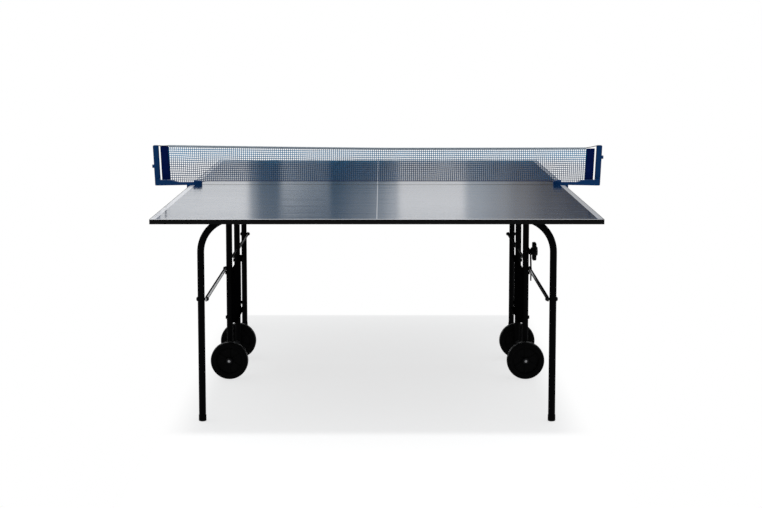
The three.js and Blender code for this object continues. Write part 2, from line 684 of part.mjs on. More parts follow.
// Bracket: arm over the board edge with a clamp jaw below, outer post, cleat and inner net rod.
function netBracket(name, side) {
  const edge = TABLE_WIDTH / 2;
  const tip = edge - CLAMP_REACH;
  const back = edge + CLAMP_CLEAR;
  const armTop = TABLE_HEIGHT + 12;
  const jawTop = TABLE_HEIGHT - CLAMP_OPENING;
  const jawBottom = jawTop - 12;
  const profile = polygon([
    [tip, TABLE_HEIGHT], [back, TABLE_HEIGHT], [back, jawTop], [tip + 6, jawTop], [tip + 6, jawBottom],
    [back + CLAMP_BACK - 4, jawBottom], [back + CLAMP_BACK, jawBottom + 4],
    [back + CLAMP_BACK, TABLE_HEIGHT + 1],
    [POST_INNER, TABLE_HEIGHT - 1], [POST_INNER + 2, TABLE_HEIGHT - 1], [POST_INNER + 2, armTop + 9],
    [ARM_SHOULDER, armTop + 9], [ARM_SHOULDER - 40, armTop - 1], [tip + 34, armTop - 1],
    [tip + 32, armTop + 6], [tip + 3, armTop + 6], [tip, armTop + 3],
  ]);
  const clampY = -CLAMP_STANDBACK - CLAMP_DEPTH;
  const arm = plateAcrossY(profile, clampY, -CLAMP_STANDBACK);
  const bridge = box(back + 1, POST_INNER + 3, -CLAMP_STANDBACK - 2, POST_DEPTH / 2 - 2,
    TABLE_HEIGHT + 1, BRIDGE_TOP);
  const lug = box(POST_INNER + 1, POST_BASE - 6, clampY, 0, TABLE_HEIGHT - 1, armTop + 12);
  const cleat = leaned(bar(X, 14, POST_BASE - 1, POST_BASE + 7).translate(0, 0, ofSide(CLEAT_LEVELS, side)));
  const rod = leaned(bar(Z, NET_ROD_DIAMETER, BRIDGE_TOP - 3, TAPE_BOTTOM - 4).translate(SLEEVE_X, 0, 0));
  const screwHole = bar(Z, PIN_DIAMETER + 2 * FIT, jawBottom - 1, jawTop + 1)
    .translate(clampX(), clampCentreY(), 0);
  const body = shape([arm, bridge, netPost(), lug, cleat, rod], [screwHole]);
  return piece(name, onSide(side, body), FINISHES.post());
}

function clampX() {
  return TABLE_WIDTH / 2 - CLAMP_REACH / 2;
}

function clampCentreY() {
  return -CLAMP_STANDBACK - CLAMP_DEPTH / 2;
}

function clampPad(name, side) {
  const top = UNDERSIDE - FIT;
  const disc = revolve([[0, top - 3], [5, top - 3], [5, top - PAD_THICKNESS], [8, top - PAD_THICKNESS],
    [PAD_DIAMETER / 2, top - 3], [PAD_DIAMETER / 2, top], [0, top]], Z, 16);
  const mesh = piece(name, disc, FINISHES.nylon());
  mesh.position.set(side * clampX(), clampCentreY(), 0);
  return mesh;
}

function clampScrew(name, side) {
  const tip = UNDERSIDE - 2 * FIT - 3;
  const jawBottom = TABLE_HEIGHT - CLAMP_OPENING - 12;
  const handleTop = jawBottom - 14;
  const r = SCREW_HANDLE_DIAMETER / 2;
  const grip = new THREE.Shape();
  const steps = 25;
  for (let i = 0; i < steps; i += 1) {
    const angle = (i / steps) * Math.PI * 2;
    const radius = r * (0.9 + 0.1 * Math.cos(5 * angle));
    const v = [radius * Math.cos(angle), radius * Math.sin(angle)];
    if (i === 0) grip.moveTo(...v);
    else grip.lineTo(...v);
  }
  const joined = [
    bar(Z, PIN_DIAMETER, handleTop - 4, tip),
    bar(Z, 16, handleTop - 1, handleTop + 6),
    plateAcrossZ(grip, handleTop - 12, handleTop),
  ];
  const mesh = piece(name, shape(joined), FINISHES.nylon());
  mesh.position.set(side * clampX(), clampCentreY(), 0);
  return mesh;
}

// Cloth sleeve that slips over the net rod.
function netSleeve(name, side) {
  const outline = roundedRectangle(-SLEEVE_WIDTH / 2, SLEEVE_WIDTH / 2, -SLEEVE_DEPTH / 2, SLEEVE_DEPTH / 2,
    SLEEVE_DEPTH / 2 - 0.01);
  outline.holes.push(circlePath(0, 0, NET_ROD_DIAMETER / 2 + FIT));
  const sleeve = plateAcrossZ(outline, BRIDGE_TOP + 1, ofSide(SLEEVE_TOPS, side), 6).translate(SLEEVE_X, 0, 0);
  return piece(name, onSide(side, leaned(sleeve)), FINISHES.cloth());
}

// How far the top edge of the net is lifted: it rises to the left post.
function netLift(x) {
  return TAPE_LIFT * Math.max(0, (TAPE_LIFT_START - x) / (NET_END + TAPE_LIFT_START));
}

// A sheet in the plane of the net whose ends lean with the sleeves and whose top edge follows the lift.
function netSheet(bottom, top, bottomLift, thickness) {
  const corner = (x, z, lift) => [x, z + lift * netLift(x)];
  const outline = polygon([
    corner(-netReach(bottom), bottom, bottomLift), corner(TAPE_LIFT_START, bottom, 0),
    corner(netReach(bottom), bottom, 0), corner(netReach(top), top, 0),
    corner(TAPE_LIFT_START, top, 0), corner(-netReach(top), top, 1)]);
  return plateAcrossY(outline, -thickness / 2, thickness / 2);
}

function netCloth(name) {
  const cloth = netSheet(TABLE_HEIGHT + NET_LIFT, TAPE_BOTTOM - FIT, 0, NET_THICKNESS);
  return piece(name, cloth, FINISHES.netting());
}

// Top tape with the cord inside it, which leaves both ends and is made fast at the posts.
function netTape(name) {
  const tape = netSheet(TAPE_BOTTOM, NET_TOP, 1, TAPE_THICKNESS);
  const end = (side) => {
    const start = side * (NET_END - 10);
    const cordZ = NET_TOP - CORD_DIAMETER / 2 - 1 + netLift(start);
    const reach = POST_INNER + LEAN * (cordZ - CORD_DIAMETER / 2 - TABLE_HEIGHT) - FIT;
    return bar(X, CORD_DIAMETER, Math.min(start, side * reach), Math.max(start, side * reach), 10)
      .translate(0, 0, cordZ);
  };
  return piece(name, shape([tape, end(-1), end(1)]), FINISHES.tape());
}

// ---- Assembly -----------------------------------------------------------------------------------------
const ENDS = [
  { name: 'near', turn: Math.PI, sides: { left: 1, right: -1 }, locking: 'right' },
  { name: 'far', turn: 0, sides: { left: -1, right: 1 }, locking: 'none' },
];

function halfTable(end) {
  const half = new THREE.Group();
  half.rotation.z = end.turn;
  half.add(
    board(end.name),
    edgeBand(end.name),
    crossBar(`${end.name}_inner_cross_bar`, PIVOT_OFFSET + 130),
    crossBar(`${end.name}_outer_cross_bar`, RAIL_END - RAIL_SIZE),
    legFrame(end.name),
    crossTube(`${end.name}_cross_tube`),
  );
  for (const [sideName, side] of Object.entries(end.sides)) {
    const name = `${end.name}_${sideName}`;
    const locking = end.locking === sideName;
    half.add(
      rail(`${name}_rail`, side),
      saddle(`${name}_leg_saddle`, side),
      foot(`${name}_foot`, side),
      stay(`${name}_stay`, side, locking),
      upright(`${name}_upright`, side, locking),
      tyre(`${name}_tyre`, side),
      hub(`${name}_wheel_hub`, side),
      axleBolt(`${name}_axle_bolt`, side),
    );
  }
  return half;
}

const table = new THREE.Group();
for (const end of ENDS) table.add(halfTable(end));
for (const [sideName, side] of [['left', -1], ['right', 1]]) {
  table.add(
    sidePlate(`${sideName}_side_plate`, side),
    tieRod(`${sideName}_tie_rod`, side),
    netBracket(`${sideName}_net_bracket`, side),
    clampPad(`${sideName}_clamp_pad`, side),
    clampScrew(`${sideName}_clamp_screw`, side),
    netSleeve(`${sideName}_net_sleeve`, side),
  );
}
table.add(lockKnob('lock_knob'), netCloth('net'), netTape('net_tape'));

export default table;
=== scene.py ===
"""Looks of the folding table tennis table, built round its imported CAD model.

Metres, +Z up, X along the net, Y along the table. Pieces are built in the model's own frame, at rest.
"""
import math

import bmesh
import bpy
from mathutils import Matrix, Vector


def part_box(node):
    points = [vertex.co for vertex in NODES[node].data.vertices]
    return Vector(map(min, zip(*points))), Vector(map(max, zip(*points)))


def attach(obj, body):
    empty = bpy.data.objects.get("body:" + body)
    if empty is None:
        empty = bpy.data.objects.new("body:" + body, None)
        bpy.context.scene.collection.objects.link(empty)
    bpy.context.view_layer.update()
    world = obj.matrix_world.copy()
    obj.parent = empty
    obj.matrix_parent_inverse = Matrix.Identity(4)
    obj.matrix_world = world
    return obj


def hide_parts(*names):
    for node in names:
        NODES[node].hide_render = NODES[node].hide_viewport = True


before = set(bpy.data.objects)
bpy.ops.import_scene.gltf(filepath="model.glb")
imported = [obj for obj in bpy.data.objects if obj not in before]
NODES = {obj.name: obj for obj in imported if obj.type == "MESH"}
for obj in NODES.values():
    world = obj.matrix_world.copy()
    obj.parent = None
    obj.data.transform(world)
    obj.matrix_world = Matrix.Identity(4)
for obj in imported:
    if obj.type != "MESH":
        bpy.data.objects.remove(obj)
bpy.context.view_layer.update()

SIDES = (("left", -1), ("right", 1))
ENDS = (("near", -1), ("far", 1))
TABLE_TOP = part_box("near_top_board")[1].z
HALF_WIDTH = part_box("near_edge_band")[1].x
HALF_LENGTH = -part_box("near_edge_band")[0].y
X_AXIS, Y_AXIS, Z_AXIS = Vector((1, 0, 0)), Vector((0, 1, 0)), Vector((0, 0, 1))


def middle(node):
    """The middle of a CAD node's box."""
    low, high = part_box(node)
    return (low + high) / 2


# ---- Mesh helpers -----------------------------------------------------------------------------
def mesh_object(name, verts, faces, smooth_angle=40):
    """A mesh piece at the origin whose faces are smooth except across sharp edges."""
    mesh = bpy.data.meshes.new(name)
    mesh.from_pydata([tuple(v) for v in verts], [], faces)
    mesh.validate()
    build = bmesh.new()
    build.from_mesh(mesh)
    bmesh.ops.recalc_face_normals(build, faces=build.faces)
    limit = math.radians(smooth_angle)
    for edge in build.edges:
        edge.smooth = len(edge.link_faces) == 2 and edge.calc_face_angle(0) < limit
    for face in build.faces:
        face.smooth = True
    build.to_mesh(mesh)
    build.free()
    piece = bpy.data.objects.new(name, mesh)
    bpy.context.scene.collection.objects.link(piece)
    return piece


class Shell:
    """Collects closed bodies that make up one piece."""

    def __init__(self):
        self.verts, self.faces = [], []

    def rings(self, rings, closed=False):
        """Adds a skin through equal rings of points, capped at both ends unless it is closed."""
        count, total, base = len(rings[0]), len(rings), len(self.verts)
        self.verts += [Vector(p) for ring in rings for p in ring]
        for i in range(total if closed else total - 1):
            a, b = base + i * count, base + ((i + 1) % total) * count
            for j in range(count):
                k = (j + 1) % count
                self.faces.append((a + j, a + k, b + k, b + j))
        if not closed:
            last = base + (total - 1) * count
            self.faces += [tuple(range(base, base + count))[::-1], tuple(range(last, last + count))]
        return self

    def build(self, name, smooth_angle):
        return mesh_object(name, self.verts, self.faces, smooth_angle)


def frames_along(points):
    """Each point of a path with the side and up across it, turned as little as possible."""
    side = None
    for i, point in enumerate(points):
        before, after = points[max(i - 1, 0)], points[min(i + 1, len(points) - 1)]
        tangent = (after - before).normalized()
        if side is None:
            other = Z_AXIS if abs(tangent.z) < 0.9 else Y_AXIS
            side = tangent.cross(other).normalized()
        side = (side - tangent * side.dot(tangent)).normalized()
        yield point, side, tangent.cross(side)


def tube_rings(points, radii, sides):
    """Round rings along a path; radii is one number or one per point."""
    if isinstance(radii, (int, float)):
        radii = [radii] * len(points)
    rings = []
    for (point, side, up), radius in zip(frames_along(points), radii):
        rings.append([point + side * (radius * math.cos(a)) + up * (radius * math.sin(a))
                      for a in (2 * math.pi * j / sides for j in range(sides))])
    return rings


def turned(profile, axis, centre, sides):
    """Rings of a turned body; profile is (distance along the axis, radius) pairs."""
    points = [centre + axis * along for along, _ in profile]
    side = Z_AXIS if abs(axis.z) < 0.9 else X_AXIS
    up = axis.cross(side)
    return [[p + side * (r * math.cos(a)) + up * (r * math.sin(a))
             for a in (2 * math.pi * j / sides for j in range(sides))]
            for p, (_, r) in zip(points, profile)]


def rounded_end(radius, at, inward):
    """(along, radius) pairs that round the rim of an end face at a place along the axis."""
    bevel, steps = 0.0008, 3
    pairs = [(at, radius - bevel)]
    for i in range(1, steps + 1):
        a = i / steps * math.pi / 2
        pairs.append((at + inward * bevel * (1 - math.cos(a)), radius - bevel * (1 - math.sin(a))))
    return pairs


def mirrored(edge):
    """A whole profile from the half of it on one side of the middle."""
    return edge + [(-along, radius) for along, radius in edge[::-1]]


def rod(axis, centre, start, end, radius):
    """A turned bar with both rims rounded, as rings."""
    profile = rounded_end(radius, start, 1) + rounded_end(radius, end, -1)[::-1]
    return turned(profile, axis, centre, 32)


def hexagon(axis, centre, start, end, across):
    """A six-sided head with chamfered corners, as rings."""
    outer, inner = across / math.sqrt(3), across / 2
    chamfer = (end - start) * 0.16
    profile = [(start, outer), (end - chamfer, outer), (end, inner)]
    return turned(profile, axis, centre, 6)


def finish_piece(piece, body, slot, material, *nodes):
    """Gives a piece its material and body, and hides the CAD nodes it stands for; the slot is not used."""
    piece.data.materials.clear()
    piece.data.materials.append(material)
    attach(piece, body)
    if nodes:
        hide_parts(*nodes)
    return piece


# ---- Materials --------------------------------------------------------------------------------
class Finish:
    """A Principled material whose details come from nodes in object space."""

    def __init__(self, name, **constants):
        self.material = bpy.data.materials.new(name)
        self.material.use_nodes = True
        self.tree = self.material.node_tree
        self.shader = self.tree.nodes["Principled BSDF"]
        self.normal = None
        for key, value in constants.items():
            socket = key.replace("_", " ").title().replace("Ior", "IOR")
            self.shader.inputs[socket].default_value = value
        self.coords = self.node("ShaderNodeTexCoord").outputs["Object"]

    def node(self, kind, links=None, **settings):
        made = self.tree.nodes.new(kind)
        for key, value in settings.items():
            setattr(made, key, value)
        for socket, value in (links or {}).items():
            self.feed(made.inputs[socket], value)
        return made

    def feed(self, socket, value):
        if isinstance(value, bpy.types.NodeSocket):
            self.tree.links.new(value, socket)
        else:
            socket.default_value = value

    def math(self, operation, *values):
        return self.node("ShaderNodeMath", dict(enumerate(values)), operation=operation).outputs[0]

    def axes(self):
        return self.node("ShaderNodeSeparateXYZ", {0: self.coords}).outputs

    def stretched(self, scale, turn=(0, 0, 0)):
        made = self.node("ShaderNodeMapping", {"Vector": self.coords, "Scale": scale, "Rotation": turn})
        return made.outputs[0]

    def noise(self, scale, detail, rough, coords=None):
        made = self.node("ShaderNodeTexNoise", {
            "Vector": coords or self.coords, "Scale": scale, "Detail": detail, "Roughness": rough})
        return made.outputs["Fac"]

    def ramp(self, value, low, high, out_low=0.0, out_high=1.0):
        """A smooth step from one value to another between two input levels."""
        made = self.node("ShaderNodeMapRange", {
            "Value": value, "From Min": low, "From Max": high, "To Min": out_low, "To Max": out_high},
            interpolation_type="SMOOTHSTEP")
        return made.outputs[0]

    def mix(self, amount, first, second, blend="MIX"):
        """Mixes two colours; a Mix node's colour sockets are inputs 6 and 7 and output 2."""
        made = self.node("ShaderNodeMix", data_type="RGBA", blend_type=blend)
        self.feed(made.inputs["Factor"], amount)
        self.feed(made.inputs[6], first)
        self.feed(made.inputs[7], second)
        return made.outputs[2]

    def colour(self, value):
        self.feed(self.shader.inputs["Base Color"], value)

    def painted(self):
        """The colour given so far, for another layer to go over."""
        return self.shader.inputs["Base Color"].links[0].from_socket

    def rough(self, value):
        self.feed(self.shader.inputs["Roughness"], value)

    def bump(self, height, strength, distance):
        """Lays one relief over the ones before it."""
        links = {"Height": height, "Strength": strength, "Distance": distance}
        if self.normal is not None:
            links["Normal"] = self.normal
        self.normal = self.node("ShaderNodeBump", links).outputs[0]
        self.feed(self.shader.inputs["Normal"], self.normal)


def rgb(red, green, blue):
    """A linear colour with full alpha."""
    return (red, green, blue, 1.0)


def powder_coat(name, colour, worn, level, grain=900.0, dull=0.60):
    """Powder-coated steel: fine orange peel, faint blotches and small scuffs."""
    finish = Finish(name, specular_ior_level=level)
    blotch = finish.ramp(finish.noise(9.0, 4, 0.6), 0.35, 0.7)
    scuff = finish.noise(60.0, 6, 0.72, finish.stretched((1.0, 0.35, 2.2)))
    scuffed = finish.ramp(scuff, 0.66, 0.74)
    base = finish.mix(blotch, colour, rgb(*(c * 1.18 + 0.0006 for c in colour[:3])))
    finish.colour(finish.mix(scuffed, base, worn))
    finish.rough(finish.math("ADD", finish.math("MULTIPLY", blotch, 0.08),
                             finish.math("MULTIPLY_ADD", scuffed, 0.12, dull)))
    finish.bump(finish.noise(grain, 2, 0.5), 0.22, 0.00012)
    return finish


def playing_surface():
    """Blue lacquer with painted lines, on a board whose sides and underside are dark primer."""
    line, centre_line, soft = 0.020, 0.0026, 0.0004
    finish = Finish("playing_surface", specular_ior_level=0.25)
    x, y, z = finish.axes()
    ax, ay = finish.math("ABSOLUTE", x), finish.math("ABSOLUTE", y)
    side = finish.ramp(ax, HALF_WIDTH - line - soft, HALF_WIDTH - line + soft)
    end = finish.ramp(ay, HALF_LENGTH - line - soft, HALF_LENGTH - line + soft)
    centre = finish.ramp(ax, centre_line / 2 - soft, centre_line / 2 + soft, 1.0, 0.0)
    lines = finish.math("MAXIMUM", finish.math("MAXIMUM", side, end), centre)
    blotch = finish.noise(2.2, 3, 0.55)
    blue = finish.mix(blotch, rgb(0.0035, 0.0200, 0.056), rgb(0.0055, 0.0280, 0.076))
    marks = finish.noise(26.0, 8, 0.78, finish.stretched((1.0, 9.0, 1.0), (0, 0, 0.5)))
    marked = finish.ramp(marks, 0.70, 0.80)
    blue = finish.mix(finish.math("MULTIPLY", marked, 0.25), blue, rgb(0.10, 0.14, 0.22))
    white = finish.mix(finish.noise(40.0, 4, 0.6), rgb(0.50, 0.51, 0.54), rgb(0.60, 0.61, 0.64))
    painted = finish.mix(lines, blue, white)
    primer = finish.mix(finish.noise(300.0, 2, 0.5), rgb(0.010, 0.011, 0.013), rgb(0.018, 0.019, 0.022))
    on_top = finish.ramp(z, TABLE_TOP - 0.0008, TABLE_TOP - 0.0004)
    finish.colour(finish.mix(on_top, primer, painted))
    streaks = finish.noise(3.0, 3, 0.6, finish.stretched((0.5, 60.0, 1.0)))
    gloss = finish.math("MULTIPLY_ADD", streaks, 0.05, 0.095)
    gloss = finish.math("ADD", gloss, finish.math("MULTIPLY", marked, 0.12))
    gloss = finish.math("ADD", gloss, finish.math("MULTIPLY", lines, 0.10))
    finish.rough(finish.math("MULTIPLY_ADD", finish.math("SUBTRACT", 1.0, on_top), 0.4, gloss))
    waves = finish.noise(1.0, 4, 0.6, finish.stretched((2.2, 16.0, 1.0)))
    finish.bump(waves, 1.0, 0.0012)
    finish.bump(lines, 0.5, 0.00005)
    finish.bump(finish.noise(420.0, 2, 0.45), 0.012, 0.00004)
    return finish.material


def edge_band():
    """Extruded black band: fine lines along its length and a slight sheen."""
    rib_pitch = 0.0016
    finish = Finish("edge_band", specular_ior_level=0.05)
    _, _, z = finish.axes()
    ribs = finish.math("SINE", finish.math("MULTIPLY", z, 2 * math.pi / rib_pitch))
    dark, light = rgb(0.0012, 0.0012, 0.0013), rgb(0.0026, 0.0026, 0.0028)
    finish.colour(finish.mix(finish.noise(30.0, 4, 0.6), dark, light))
    finish.rough(finish.math("MULTIPLY_ADD", finish.noise(120.0, 3, 0.6), 0.18, 0.36))
    finish.bump(ribs, 0.25, 0.00012)
    return finish.material


def bright_steel(name, colour, low, high):
    """Plated steel with a fine grain and dull patches."""
    finish = Finish(name, metallic=1.0)
    patch = finish.noise(140.0, 5, 0.65)
    finish.colour(finish.mix(patch, colour, rgb(*(c * 0.62 for c in colour[:3]))))
    finish.rough(finish.ramp(patch, 0.3, 0.75, low, high))
    finish.bump(finish.noise(2600.0, 2, 0.5), 0.15, 0.00008)
    return finish.material


def moulded(name, colour, lighter, level, rough, grain):
    """Moulded plastic or rubber with a spark-eroded grain and faint scuffs."""
    finish = Finish(name, specular_ior_level=level)
    dusty = finish.ramp(finish.noise(36.0, 6, 0.7), 0.52, 0.75)
    finish.colour(finish.mix(dusty, colour, lighter))
    finish.rough(finish.math("MULTIPLY_ADD", dusty, 0.14, rough))
    finish.bump(finish.noise(grain, 3, 0.6), 0.3, 0.00015)
    return finish


def stay_steel():
    """Black strap with a painted highlight: plated metal shows along the middle of its faces where the
    stays catch the light, most on the near left stay.
    """
    finish = powder_coat("stay_steel", BLACK, SCUFFED, 0.0)
    low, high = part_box("near_left_stay")
    half = (high.z - low.z) / 2
    x, y, z = finish.axes()
    away = finish.math("ABSOLUTE", finish.math("SUBTRACT", z, middle("near_left_stay").z))
    band = finish.ramp(away, half - 0.0045, half - 0.0025, 1.0, 0.0)
    patch = finish.ramp(finish.noise(30.0, 5, 0.65), 0.16, 0.46)
    highlight_metal = finish.mix(finish.noise(400.0, 3, 0.6), rgb(0.30, 0.31, 0.32), rgb(0.46, 0.47, 0.48))
    # painted highlight: the plated band is laid where light catches the stays, fullest on the near left
    # one, weaker on the far ones, and fading along the right ones towards the legs
    near = finish.ramp(y, -0.02, 0.02, 1.0, 0.28)
    outward = finish.math("MULTIPLY", x, finish.math("ABSOLUTE", y))
    highlight_share = finish.math("MULTIPLY", near, finish.ramp(outward, 0.18, 0.38, 0.9, 0.07))
    painted_highlight = finish.math("MULTIPLY", finish.math("MULTIPLY", band, patch), highlight_share)
    finish.colour(finish.mix(painted_highlight, finish.painted(), highlight_metal))
    finish.feed(finish.shader.inputs["Metallic"], painted_highlight)
    finish.rough(finish.math("MULTIPLY_ADD", painted_highlight, -0.30, 0.65))
    return finish.material


def tyre_rubber():
    """Black rubber whose tread is scuffed grey in patches, as rolling leaves it."""
    finish = moulded("tyre_rubber", BLACK, rgb(0.005, 0.005, 0.005), 0.03, 0.5, 700.0)
    low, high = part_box("near_right_tyre")
    axle = middle("near_right_tyre")
    radius = (high.z - low.z) / 2
    x, _, z = finish.axes()
    across = finish.math("SUBTRACT", finish.math("ABSOLUTE", x), axle.x)
    up = finish.math("SUBTRACT", z, axle.z)
    reach = finish.math("SQRT", finish.math("ADD", finish.math("MULTIPLY", across, across),
                                            finish.math("MULTIPLY", up, up)))
    tread = finish.ramp(reach, radius - 0.0012, radius - 0.0002)
    patch = finish.ramp(finish.noise(55.0, 5, 0.7), 0.42, 0.62)
    scuffed = finish.math("MULTIPLY", tread, patch)
    finish.colour(finish.mix(scuffed, finish.painted(), rgb(0.060, 0.060, 0.063)))
    level = finish.math("MULTIPLY_ADD", scuffed, 0.9, 0.03)
    finish.feed(finish.shader.inputs["Specular IOR Level"], level)
    finish.rough(finish.math("MULTIPLY_ADD", scuffed, -0.22, 0.55))
    return finish.material


def woven(name, warp, weft, across, along, pitch, sheen, level=0.2):
    """Plain weave: two sets of rounded threads that pass over and under each other, with painted shade in
    the hollows between them.
    """
    finish = Finish(name, specular_ior_level=level, sheen_weight=sheen, sheen_roughness=0.4)
    axes = finish.axes()
    u = finish.math("SINE", finish.math("MULTIPLY", axes[across], math.pi / pitch))
    v = finish.math("SINE", finish.math("MULTIPLY", axes[along], math.pi / pitch))
    over = finish.ramp(finish.math("MULTIPLY", u, v), -0.25, 0.25)
    threads = finish.math("ADD", finish.math("ABSOLUTE", u), finish.math("ABSOLUTE", v))
    fade = finish.noise(70.0, 4, 0.6)
    # painted shade: the hollows between the threads are darkened to a quarter, and the thread crowns are
    # painted a touch lighter
    hollow_shade = finish.mix(finish.ramp(threads, 0.2, 1.4), rgb(0.25, 0.25, 0.25), rgb(1.05, 1.05, 1.05))
    cloth = finish.mix(1.0, finish.mix(over, warp, weft), hollow_shade, "MULTIPLY")
    faded = finish.math("MULTIPLY", finish.ramp(fade, 0.5, 0.8), 0.35)
    paler = rgb(*(min(c * 1.7 + 0.01, 1) for c in weft[:3]))
    finish.colour(finish.mix(faded, cloth, paler))
    finish.rough(finish.math("MULTIPLY_ADD", fade, 0.15, 0.72))
    finish.bump(finish.math("ADD", threads, finish.math("MULTIPLY", over, 0.5)), 0.5, 0.00025)
    return finish.material


def net_thread():
    """Twisted net thread: slanting plies, a little fade along each thread, and painted light that makes the
    upper threads lighter than the lower ones.
    """
    finish = Finish("net_thread", specular_ior_level=0.2, sheen_weight=0.2, sheen_roughness=0.5)
    ply_pitch = 0.0011
    x, y, z = finish.axes()
    slant = finish.math("ADD", finish.math("ADD", x, y), z)
    twist = finish.math("SINE", finish.math("MULTIPLY", slant, 2 * math.pi / ply_pitch))
    fade = finish.noise(16.0, 4, 0.6)
    # painted light and shade: from about 10 cm over the board upwards the threads are painted much lighter
    # than below; this is light and shade, not fading by sun
    painted_upper_light = finish.ramp(z, TABLE_TOP + 0.075, TABLE_TOP + 0.125)
    pale = finish.mix(painted_upper_light, rgb(0.002, 0.050, 0.135), rgb(0.006, 0.230, 0.450))
    strong = finish.mix(painted_upper_light, rgb(0.004, 0.075, 0.185), rgb(0.012, 0.290, 0.550))
    finish.colour(finish.mix(finish.ramp(fade, 0.35, 0.68), pale, strong))
    finish.rough(finish.math("MULTIPLY_ADD", fade, 0.2, 0.62))
    finish.bump(twist, 0.4, 0.00012)
    return finish.material


BLACK, SCUFFED = rgb(0.0014, 0.0014, 0.0016), rgb(0.007, 0.007, 0.0075)
STEEL_BLACK = powder_coat("frame_steel", BLACK, SCUFFED, 0.02).material
PLATE_BLACK = powder_coat("plate_steel", BLACK, SCUFFED, 0.0, 700.0, 0.85).material
STAY_STEEL = stay_steel()
POST_BLUE = powder_coat("post_metal", rgb(0.0002, 0.027, 0.103), rgb(0.012, 0.070, 0.19),
                        0.08, 1200.0, 0.45).material
BOARD = playing_surface()
BAND = edge_band()
DARK_BOLT = bright_steel("dark_bolt", rgb(0.012, 0.012, 0.013), 0.36, 0.6)
AXLE_STEEL = bright_steel("axle_steel", rgb(0.30, 0.30, 0.31), 0.3, 0.5)
TYRE = tyre_rubber()
FOOT_RUBBER = moulded("foot_rubber", rgb(0.0014, 0.0014, 0.0015), rgb(0.005, 0.005, 0.005),
                      0.02, 0.6, 900.0).material
HUB = moulded("hub_plastic", BLACK, rgb(0.004, 0.004, 0.0042), 0.03, 0.5, 1400.0).material
KNOB = moulded("knob_plastic", BLACK, rgb(0.004, 0.004, 0.0042), 0.03, 0.45, 1500.0).material
SLEEVE = woven("sleeve_cloth", rgb(0.0002, 0.0060, 0.060), rgb(0.0004, 0.0092, 0.084),
               0, 2, 0.0011, 0.0, 0.04)
TAPE = woven("tape_cloth", rgb(0.31, 0.365, 0.41), rgb(0.38, 0.435, 0.485), 0, 2, 0.0009, 0.1)
STITCH = moulded("stitch_thread", rgb(0.55, 0.57, 0.60), rgb(0.7, 0.71, 0.72),
                 0.2, 0.7, 3000.0).material
NAVY_STITCH = moulded("navy_stitch", rgb(0.004, 0.014, 0.07), rgb(0.012, 0.03, 0.10),
                      0.2, 0.7, 3000.0).material
CORD = moulded("top_cord", rgb(0.018, 0.020, 0.026), rgb(0.035, 0.038, 0.045),
               0.2, 0.6, 2200.0).material
THREAD = net_thread()

NODE_FINISH = {
    "playing_surface": BOARD, "edge_band": BAND, "frame_steel": STEEL_BLACK, "zinc_steel": STEEL_BLACK,
    "tyre_rubber": TYRE, "foot_rubber": FOOT_RUBBER, "hub_plastic": HUB, "axle_steel": AXLE_STEEL,
    "knob_plastic": KNOB, "post_metal": POST_BLUE, "sleeve_cloth": SLEEVE, "net_cord": THREAD,
    "tape_cloth": TAPE,
}
# Blender numbers a second material of one name, so only the part before the point counts
for cad_node in NODES.values():
    for material_slot in cad_node.material_slots:
        material_slot.material = NODE_FINISH[material_slot.material.name.split(".")[0]]
for side_name, _ in SIDES:
    NODES[f"{side_name}_side_plate"].material_slots[0].material = PLATE_BLACK
    for end_name, _ in ENDS:
        NODES[f"{end_name}_{side_name}_stay"].material_slots[0].material = STAY_STEEL


# ---- Frame: finer tubes, fixings, wheels and knob ------------------------------------------------
TUBE_RADIUS = 0.0125
LEG_BEND = 0.120
BOLT_HEAD = 0.005
LEG_Y = middle("far_leg_frame").y
LEG_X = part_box("near_leg_frame")[1].x - TUBE_RADIUS - BOLT_HEAD
LEG_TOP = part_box("near_leg_frame")[1].z - TUBE_RADIUS
PIVOT_Y = middle("far_right_upright").y
STAY_INNER, STAY_OUTER = (abs(corner.x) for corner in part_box("near_right_stay"))
STAY_Z = middle("near_left_stay").z


def bend(centre, start, turn, radius, steps):
    """Points of a round bend in the XZ plane, from a start angle."""
    return [Vector((centre[0] + radius * math.cos(start + turn * i / steps), centre[1],
                    centre[2] + radius * math.sin(start + turn * i / steps))) for i in range(steps + 1)]


def build_leg_frame(end, sign):
    """One bent tube: two legs and the bar between them."""
    y = sign * LEG_Y
    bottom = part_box(f"{end}_leg_frame")[0].z
    leg, bar = (bottom, 0.30, 0.55), (-0.25, 0.25)  # rings of the straight stretches
    turn_x, turn_z, steps = LEG_X - LEG_BEND, LEG_TOP - LEG_BEND, 20
    path = [Vector((-LEG_X, y, z)) for z in leg]
    path += bend((-turn_x, y, turn_z), math.pi, -math.pi / 2, LEG_BEND, steps)
    path += [Vector((x, y, LEG_TOP)) for x in bar]
    path += bend((turn_x, y, turn_z), math.pi / 2, -math.pi / 2, LEG_BEND, steps)
    path += [Vector((LEG_X, y, z)) for z in leg[::-1]]
    return Shell().rings(tube_rings(path, TUBE_RADIUS, 40)).build(f"{end}_leg_tube", 50)


